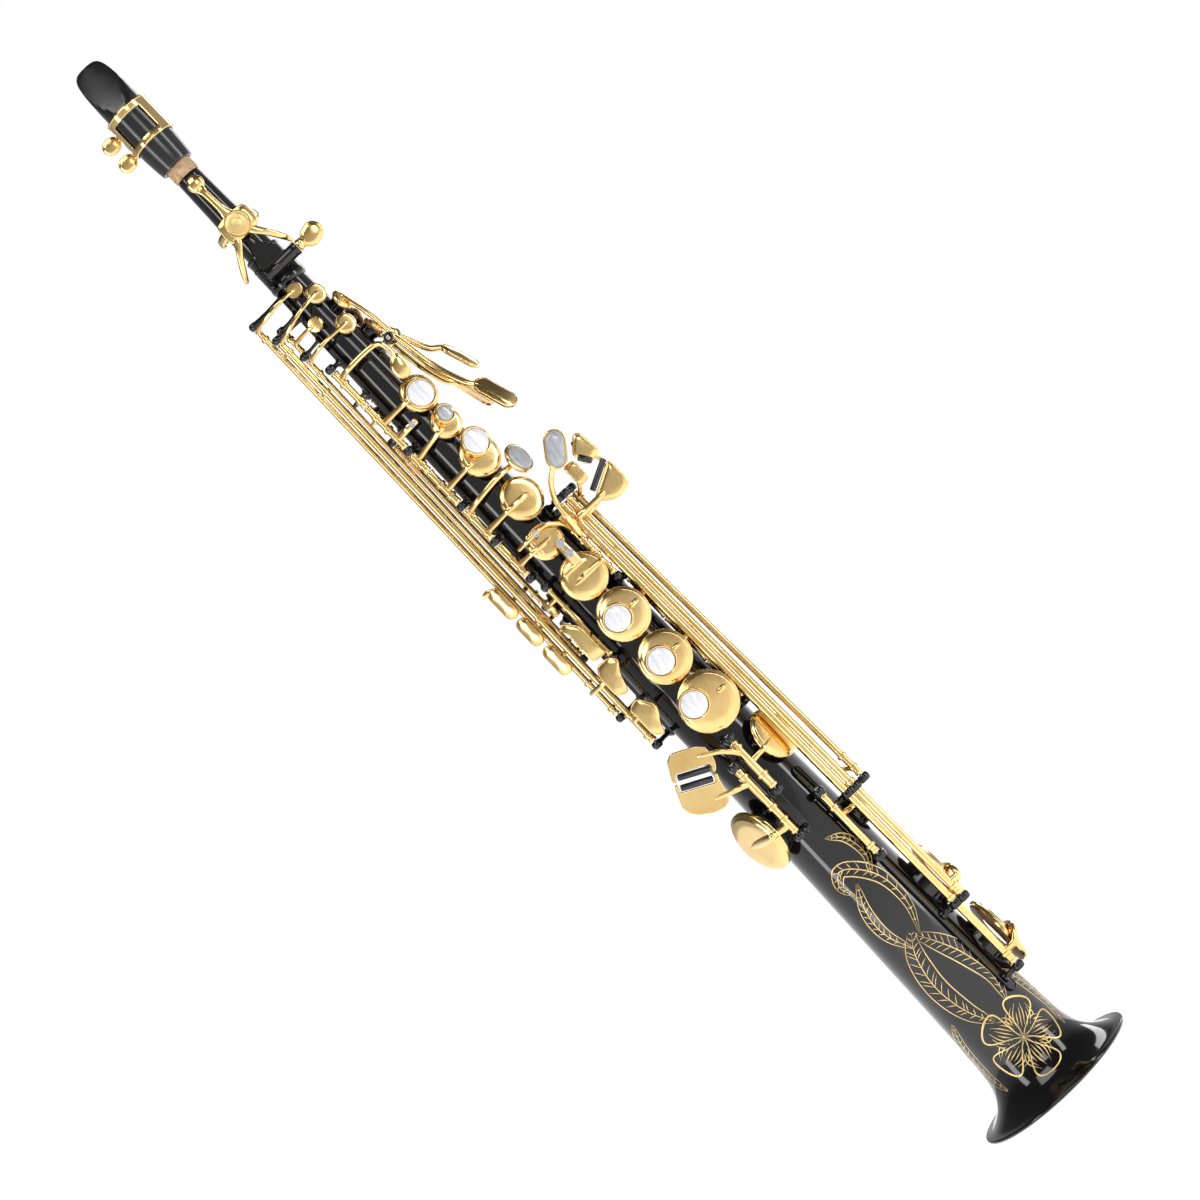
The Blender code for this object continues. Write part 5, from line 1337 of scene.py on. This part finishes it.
def make_neck():
    tube = Shape()
    tube.lathe([(4.5, 648.0), (5.0, 648.2), (5.5, 647.9), (5.6, 626.6), (6.6, 626.0), (6.7, 625.0),
                (7.2, 604.0),
                (8.0, 584.0), (8.2, 576.0), (8.3, 566.8), (7.0, 566.8), (6.9, 580.0), (5.9, 604.0),
                (4.7, 626.0)],
               (0, 0, 0), (0, 0, 1), 80, loop=True)
    for side in (-1, 1):
        tube.lathe([(0, 6.2), (2.4, 6.9), (2.2, 7.6), (1.4, 8.1), (1.3, 8.8), (1.5, 9.4), (0, 9.6)],
                   (0, -1, OCTAVE_PIVOT_Z), (side, 0, 0), 28)
    tube.lathe([(1.2, 5.4), (2.8, 5.4), (2.6, 7.2), (2.4, 8.4), (1.9, 8.6), (1.2, 8.5)], (0, 0, 618.6),
               (0, -1, 0), 32,
               loop=True)
    finish("neck_pipe", tube, BLACK, "body", ["neck_tube"])
    cork = Shape()
    cork.lathe([(5.9, 647.4), (6.8, 647.4), (7.05, 647.0), (7.15, 634.5), (7.2, 628.2), (7.0, 627.2),
                (6.9, 626.9),
                (5.9, 626.8)], (0, 0, 0), (0, 0, 1), 72, loop=True)
    finish("neck_cork_sleeve", cork, CORK, "body", ["neck_cork"])


def make_neck_octave_key():
    gold, pads = Shape(), Shape()
    front = -13.6
    for side in (-1, 1):
        gold.sweep([(side * 15.6, -5.6, 566.8), (side * 13.6, -9.6, 570.6), (side * 9.4, -12.8, 577.0),
                    (side * 5.6, front, 582.4), (side * 3.4, front, 587.0)],
                   [(2.2, 1.6), (3.2, 2.2), (3.4, 2.4), (4.2, 2.4), (4.8, 2.0)], facing=(0, -1, 0))
        gold.sweep([(side * 5, front, OCTAVE_PIVOT_Z), (side * 9.2, -10.6, OCTAVE_PIVOT_Z),
                    (side * 11.1, -6, OCTAVE_PIVOT_Z), (side * 11.1, -1.6, OCTAVE_PIVOT_Z)],
                   [(5.4, 2.0), (4.6, 2.0), (4.0, 2.0), (4.0, 2.0)])
        gold.lathe([(0.9, 10.1), (2.4, 10.1), (2.7, 10.4), (2.7, 11.9), (2.4, 12.2), (0.9, 12.2)],
                   (0, -1, OCTAVE_PIVOT_Z), (side, 0, 0),
                   32, loop=True)
        pads.lathe([(0, 12.2), (1.7, 12.2), (1.5, 12.6), (0, 12.7)], (0, -1, OCTAVE_PIVOT_Z), (side, 0, 0),
                   24)
    body = round_outline([(-5.2, -9.6), (5.2, -9.6), (6.8, -6.0), (7.2, 0), (6.8, 6.0), (5.2, 9.6),
                          (-5.2, 9.6), (-6.8, 6.0),
                          (-7.2, 0), (-6.8, -6.0)], 2)
    gold.slab(body, 2.2, turn_to((1.4, front, OCTAVE_PIVOT_Z), (0, -1, 0), (0, 0, 1)), 0.7, 0.3)
    gold.lathe([(5.9, 0), (7.0, 0), (7.0, 0.7), (6.7, 1.05), (6.3, 1.05), (5.9, 0.6)],
               (1.4, front - 1.1, OCTAVE_PIVOT_Z), (0, -1, 0),
               56, loop=True)
    boss = Shape()
    boss.lathe([(0, 0), (5.8, 0), (5.8, 0.5), (4.9, 0.75), (4.7, 0.55), (3.2, 0.65), (3.0, 0.9),
                (1.6, 1.15), (0, 1.25)],
               (1.4, front - 1.1, OCTAVE_PIVOT_Z), (0, -1, 0), 48)
    gold.sweep([(1.2, front, 596), (0.8, front - 0.2, 601), (0.3, front - 0.2, 611),
                (0, front - 0.1, 615.5)],
               [(7.0, 2.2), (4.4, 2.4), (3.8, 2.4), (4.8, 1.8)], facing=(0, -1, 0))
    gold.lathe([(0, 1.6), (3.9, 1.6), (4.5, 1.1), (4.6, 0), (4.4, -0.9), (3.6, -1.6), (1.8, -2.1),
                (0, -2.2)],
               (0, -11.6, 619.4), (0, 1, 0), 40)
    pads.lathe([(0, 2.3), (3.2, 2.3), (3.6, 2.1), (3.7, 1.5), (0, 1.5)], (0, -11.6, 619.4), (0, 1, 0), 32)
    finish("neck_octave_key_brass", gold, GOLD, "neck_octave_key", ["neck_octave_key"])
    finish("neck_octave_key_boss", boss, ENGRAVED, "neck_octave_key")
    finish("neck_octave_key_pad", pads, LEATHER, "neck_octave_key")


MOUTHPIECE_FLAT = 7.8


def mouthpiece_ring(z, radius, sides=96):
    """Section of the mouthpiece: round, flat behind for the reed, sloped in front on the beak."""
    slope = -10.3 + 15.6 * (max(z - 669.0, 0) / 34.0) ** 1.04
    ring = []
    for i in range(sides):
        turn = math.tau * i / sides
        x, y = radius * math.cos(turn), radius * math.sin(turn)
        crown = 1.1 * (1 - (x / radius) ** 2)
        y = max(y, slope - crown) if z > 669.0 else y
        y = min(y, MOUTHPIECE_FLAT) if z > 646.0 else y
        ring.append((x, y, z))
    return ring


def make_mouthpiece():
    outside = [(634.0, 8.9), (634.3, 9.3), (636.0, 9.6), (640.0, 10.0), (645.0, 10.4), (650.0, 10.7),
               (658.0, 10.65),
               (666.0, 10.55), (670.0, 10.5), (672.0, 10.48), (674.0, 10.45), (678.0, 10.4), (682.0, 10.3),
               (686.0, 10.15),
               (690.0, 9.9), (693.0, 9.6), (696.0, 9.15), (698.0, 8.7), (700.0, 7.9), (701.4, 6.9),
               (702.3, 5.6), (702.8, 4.0)]
    shape = Shape()
    shape.rings([mouthpiece_ring(z, r) for z, r in reversed(outside)]
                + [mouthpiece_ring(z, r) for z, r in ((634.0, 7.6), (645.0, 7.5))]
                + [[(x * 0.9, y * 0.9, z) for x, y, z in mouthpiece_ring(663.0, 7.0)]])
    finish("mouthpiece_body", shape, EBONITE, "body", ["mouthpiece"], 25)
    reed = Shape()
    back = MOUTHPIECE_FLAT + GAP
    rings = []
    for z, width, thick in ((641, 10.8, 2.0), (641.4, 11.3, 2.2), (655, 11.4, 2.2), (668, 11.6, 2.2),
                            (673, 11.7, 2.1),
                            (676, 11.8, 1.7), (686, 12.0, 1.0), (697, 12.0, 0.5), (700.5, 11.2, 0.35),
                            (702.4, 8.6, 0.25),
                            (703.0, 5.6, 0.2)):
        half = width / 2
        rings.append([(-half, back, z), (half, back, z)]
                     + [(half * math.cos(a), back + 0.08 + thick * bulge(math.sin(a), 2.6), z)
                        for a in (math.pi * k / 14 for k in range(15))])
    reed.rings(rings)
    finish("reed_cane", reed, CANE, "body", ["reed"], 30)


LIGATURE_Y = 0.5
EAR_Y = 14.4


def make_ligature():
    """Bent sheet band with a window in front, beaded edges, and screw barrels at the back."""
    radius = 11.75
    window = [math.asin(-10.0 / radius), math.asin(7.0 / radius)]
    gap = math.asin(1.3 / radius)
    angles = sorted({-math.pi + gap + (math.tau - 2 * gap) * i / 96 for i in range(97)} | set(window))
    heights = [650.5, 651.2, 654.0, 655.0, 657.0, 661.0, 665.0, 667.0, 668.0, 671.3, 672.0]
    band = Shape()
    index = {}

    def corner(a, z):
        key = (round(a, 6), z)
        if key not in index:
            index[key] = len(band.points)
            band.points.append(Vector((radius * math.sin(a), LIGATURE_Y - radius * math.cos(a), z)))
        return index[key]

    for a, b in zip(angles, angles[1:]):
        for low, high in zip(heights, heights[1:]):
            middle_a, middle_z = (a + b) / 2, (low + high) / 2
            if 654.0 < middle_z < 668.0 and window[0] < middle_a < window[1]:
                continue
            band.faces.append((corner(a, low), corner(b, low), corner(b, high), corner(a, high)))
    sheet = finish("ligature_band", band, GOLD, "body", ["ligature"])
    solid = sheet.modifiers.new("thickness", "SOLIDIFY")
    solid.thickness = 0.8 * MM
    solid.offset = 0.0
    soft = sheet.modifiers.new("edges", "BEVEL")
    soft.width = 0.22 * MM
    soft.segments = 2
    soft.angle_limit = math.radians(50)
    trim = Shape()
    for z in (651.1, 671.4):
        ring = []
        for i in range(97):
            a = -math.pi + gap + (math.tau - 2 * gap) * i / 96
            ring.append((12.15 * math.sin(a), LIGATURE_Y - 12.15 * math.cos(a), z))
        trim.sweep(ring[::4], [(0.8, 0.8)] * len(ring[::4]), square=2.0)
    for z in (655.0, 667.0):
        for side in (-1, 1):
            trim.lathe([(1.3, 1.8), (2.6, 1.8), (2.85, 2.1), (2.85, 3.4), (2.6, 3.7), (1.3, 3.7)],
                       (0, EAR_Y, z), (side, 0, 0),
                       28, loop=True)
            trim.sweep([(side * 2.7, EAR_Y - 0.8, z), (side * 2.3, EAR_Y - 2.4, z)],
                       [(4.6, 1.6), (5.4, 1.4)],
                       facing=(side, 0, 0))
    finish("ligature_trim", trim, GOLD, "body")
    for name, z in (("ligature_screw_lower", 655.0), ("ligature_screw_upper", 667.0)):
        screw = Shape()
        screw.lathe([(0, -4.6), (0.9, -4.5), (0.95, 9.6), (1.7, 9.7), (2.2, 10.2), (2.2, 11.6),
                     (1.8, 12.2), (1.2, 13.2),
                     (0, 14.2)], (0, EAR_Y, z), (-1, 0, 0), 28)
        screw.slab(stadium(10.2, 8.6, 16), 1.9, turn_to((-17.3, EAR_Y, z), (0, -1, 0), (1, 0, 0)), 0.7, 0.5)
        finish(name + "_brass", screw, GOLD, name, [name])


# ---- engraving: a flower and leaves cut through the lacquer ----

def on_bell(z, sideways, lift=0.06):
    """Point of the bell's front, a distance sideways round the tube from its middle line."""
    rho = tube_radius(z)
    return at(z, math.degrees(sideways / rho), rho + lift)


def add_stroke(shape, points, width):
    """Cut line, thick in the middle and fine at its ends; the points are (height, sideways)."""
    path = [on_bell(z, s) for z, s in points]
    last = len(path) - 1
    sizes = [(max(width * math.sin(math.pi * (0.08 + 0.84 * i / last)), 0.12),
              0.16) for i in range(last + 1)]
    shape.sweep(path, sizes, sides=6, square=2.0)


def petal_outline(centre, turn, length, width, share):
    """Point on the edge of a petal; share runs from 0 at its root, round its tip, back to 1."""
    along_share = 1 - abs(2 * share - 1)
    side = 1 if share < 0.5 else -1
    reach = length * math.sin(math.pi / 2 * along_share)
    spread = side * width * math.sin(math.pi * along_share ** 1.4) * 0.5
    return (centre[0] + reach * math.cos(turn) - spread * math.sin(turn),
            centre[1] + reach * math.sin(turn) + spread * math.cos(turn))


def add_petal(shape, centre, turn, length, width, hatch):
    add_stroke(shape, [petal_outline(centre, turn, length, width, k / 16) for k in range(17)], 1.0)
    for k in range(hatch):
        swing = (k - (hatch - 1) / 2) / hatch * width * 1.1
        start, stop = 0.25 + 0.05 * (k % 2), 0.62 + 0.1 * (k % 3)
        points = []
        for share in (start, (start + stop) / 2, stop):
            reach = length * share
            sway = swing * math.sin(math.pi * share)
            points.append((centre[0] + reach * math.cos(turn) - sway * math.sin(turn),
                           centre[1] + reach * math.sin(turn) + sway * math.cos(turn)))
        add_stroke(shape, points, 0.55)


def add_frond(shape, spine, width, hatch):
    """Leaf along a curved spine, with short slanted cuts on both sides."""
    curve = smooth([(z, s, 0) for z, s in spine], 8)
    add_stroke(shape, [(p.x, p.y) for p in curve[::3]], 0.6)
    last = len(curve) - 1
    for side in (-1, 1):
        edge = []
        for i in range(0, last + 1, 3):
            ahead = (curve[min(i + 1, last)] - curve[max(i - 1, 0)]).normalized()
            spread = width * math.sin(math.pi * min(i / last * 0.96 + 0.02, 1.0)) ** 0.8
            edge.append((curve[i].x - ahead.y * spread * side, curve[i].y + ahead.x * spread * side))
        add_stroke(shape, edge, 0.6)
        for k in range(1, hatch):
            i = int(last * k / hatch)
            ahead = (curve[min(i + 1, last)] - curve[max(i - 1, 0)]).normalized()
            spread = width * math.sin(math.pi * i / last) ** 0.8 * 0.8
            root = curve[i]
            tip = (root.x - ahead.y * spread * side + ahead.x * spread * 0.9,
                   root.y + ahead.x * spread * side + ahead.y * spread * 0.9)
            add_stroke(shape, [(root.x, root.y),
                               ((root.x + tip[0]) / 2 + ahead.x * 0.3, (root.y + tip[1]) / 2), tip], 0.42)


def make_engraving():
    shape = Shape()
    centre = (31.0, 3.0)
    for k in range(5):
        add_petal(shape, centre, math.radians(90 + 72 * k - 54), 20.5, 15.5, 9)
    for k in range(10):
        a = math.radians(36 * k)
        add_stroke(shape, [(centre[0] + 1.6 * math.cos(a), centre[1] + 1.6 * math.sin(a)),
                           (centre[0] + 3.9 * math.cos(a + 0.25), centre[1] + 3.9 * math.sin(a + 0.25))],
                   0.6)
    for spine, width, hatch in (
            ([(46, -2), (60, -9), (78, -12), (96, -8), (108, 0)], 6.4, 18),
            ([(50, 10), (64, 14), (80, 11), (94, 5), (106, -2)], 5.6, 16),
            ([(104, 2), (118, 8), (134, 8), (146, 2), (152, -6), (146, -12), (138, -9)], 3.8, 16),
            ([(100, -6), (114, -12), (128, -11), (142, -4)], 3.6, 12),
            ([(140, 4), (150, 10), (162, 8), (169, 0)], 2.6, 10),
            ([(16, -24), (28, -30), (44, -29), (58, -21)], 4.6, 12),
            ([(20, 27), (34, 31), (50, 27), (62, 19)], 4.6, 12)):
        add_frond(shape, spine, width, hatch)
    finish("bell_engraving", shape, ENGRAVED, "body")


# ---- light, floor and camera ----

def area_light(name, place, aim, size, power, height=None):
    data = bpy.data.lights.new(name, "AREA")
    data.shape = "RECTANGLE"
    data.size = size
    data.size_y = height or size
    data.energy = power
    lamp = bpy.data.objects.new(name, data)
    lamp.location = place
    lamp.visible_camera = False
    lamp.rotation_euler = (Vector(aim) - Vector(place)).to_track_quat("-Z", "Y").to_euler()
    bpy.context.scene.collection.objects.link(lamp)


def make_floor():
    floor_material = new_material("studio_floor", (0.96, 0.96, 0.96), 0.8, Emission_Color=(1, 1, 1, 1),
                                  Emission_Strength=0.9)
    drift = noise(floor_material, 8.0)
    spread(floor_material, drift, "Fac", 0.75, 0.88, "Roughness")
    mesh = bpy.data.meshes.new("studio_floor")
    mesh.from_pydata([(-6, -6, -0.0006), (6, -6, -0.0006), (6, 6, -0.0006), (-6, 6, -0.0006)], [],
                     [(0, 1, 2, 3)])
    mesh.materials.append(floor_material)
    floor = bpy.data.objects.new("studio_floor", mesh)
    bpy.context.scene.collection.objects.link(floor)


def make_world():
    """White backdrop for the camera; for reflections a room with a bright band at eye level."""
    world = bpy.data.worlds.new("studio")
    world.use_nodes = True
    tree = world.node_tree
    room = tree.nodes["Background"]
    room.inputs["Strength"].default_value = 1.0
    where = tree.nodes.new("ShaderNodeTexCoord")
    split = tree.nodes.new("ShaderNodeSeparateXYZ")
    fade = tree.nodes.new("ShaderNodeValToRGB")
    band = fade.color_ramp
    while len(band.elements) < 4:
        band.elements.new(0.5)
    for element, (place, grey) in zip(band.elements, ((0.32, 0.03), (0.47, 0.5), (0.55, 0.5), (0.72, 0.1))):
        element.position = place
        element.color = (grey, grey, grey, 1)
    shift = tree.nodes.new("ShaderNodeMapRange")
    shift.inputs["From Min"].default_value = -1.0
    tree.links.new(where.outputs["Generated"], split.inputs["Vector"])
    tree.links.new(split.outputs["Z"], shift.inputs["Value"])
    tree.links.new(shift.outputs["Result"], fade.inputs["Fac"])
    tree.links.new(fade.outputs["Color"], room.inputs["Color"])
    white = tree.nodes.new("ShaderNodeBackground")
    white.inputs["Color"].default_value = (1, 1, 1, 1)
    white.inputs["Strength"].default_value = 1.0
    path = tree.nodes.new("ShaderNodeLightPath")
    mix = tree.nodes.new("ShaderNodeMixShader")
    tree.links.new(path.outputs["Is Camera Ray"], mix.inputs["Fac"])
    tree.links.new(room.outputs["Background"], mix.inputs[1])
    tree.links.new(white.outputs["Background"], mix.inputs[2])
    tree.links.new(mix.outputs["Shader"], tree.nodes["World Output"].inputs["Surface"])
    bpy.context.scene.world = world


def make_camera():
    data = bpy.data.cameras.new("camera")
    data.sensor_width = 36.0
    frame_width, distance = 0.60066, 1.6
    data.lens = data.sensor_width * distance / frame_width
    data.clip_start = 0.01
    camera = bpy.data.objects.new("camera", data)
    right = Vector((0.721, 0, -0.693)).normalized()
    up = Vector((0.693, 0, 0.721)).normalized()
    turn = Matrix((right, up, Vector((0, -1, 0)))).transposed().to_4x4()
    camera.matrix_world = Matrix.Translation((0.0017, -distance, 0.331)) @ turn
    bpy.context.scene.collection.objects.link(camera)
    bpy.context.scene.camera = camera


def main():
    for make in (make_body_tube, make_bell_key_rib, make_low_key_rib, make_lower_stack_rib,
                 make_upper_stack_rib, make_side_rib, make_low_b_flat_key, make_low_b_key,
                 make_low_c_sharp, make_foot_keys):
        make()
    make_roller("eb_roller", "eb_key", (-16.4, FOOT_Y, 233.7), (-31.7, FOOT_Y, 241.5), 1.65)
    make_roller("low_c_roller", "low_c_key", (-18.9, FOOT_Y, 229.1), (-34.1, FOOT_Y, 236.8), 1.65)
    make_roller("b_flat_roller", "low_b_flat_key", (51.8, TABLE_Y, 380.4), (36.4, TABLE_Y, 372.6), 1.55)
    for make in (make_lower_stack, make_g_sharp, make_upper_stack, make_side_keys, make_high_keys,
                 make_octave_keys, make_palm_keys, make_palm_rib, make_back_pieces, make_receiver,
                 make_neck, make_neck_octave_key, make_mouthpiece, make_ligature, make_engraving,
                 make_floor, make_world, make_camera):
        make()
    middle = (0, 0, 0.33)
    for lamp in (
            ("left_softbox", (-1.2, -0.9, 0.5), middle, 0.3, 7, 1.4),
            ("right_softbox", (1.1, -0.6, 0.4), middle, 0.22, 5, 1.2),
            ("top_softbox", (-0.2, -1.0, 1.6), middle, 0.9, 8),
            ("front_softbox", (0.5, -1.9, 0.9), middle, 0.5, 3),
            ("back_softbox", (0.8, 1.2, 0.8), middle, 0.3, 4, 1.2)):
        area_light(*lamp)
    bpy.context.scene.view_settings.view_transform = "Standard"


main()
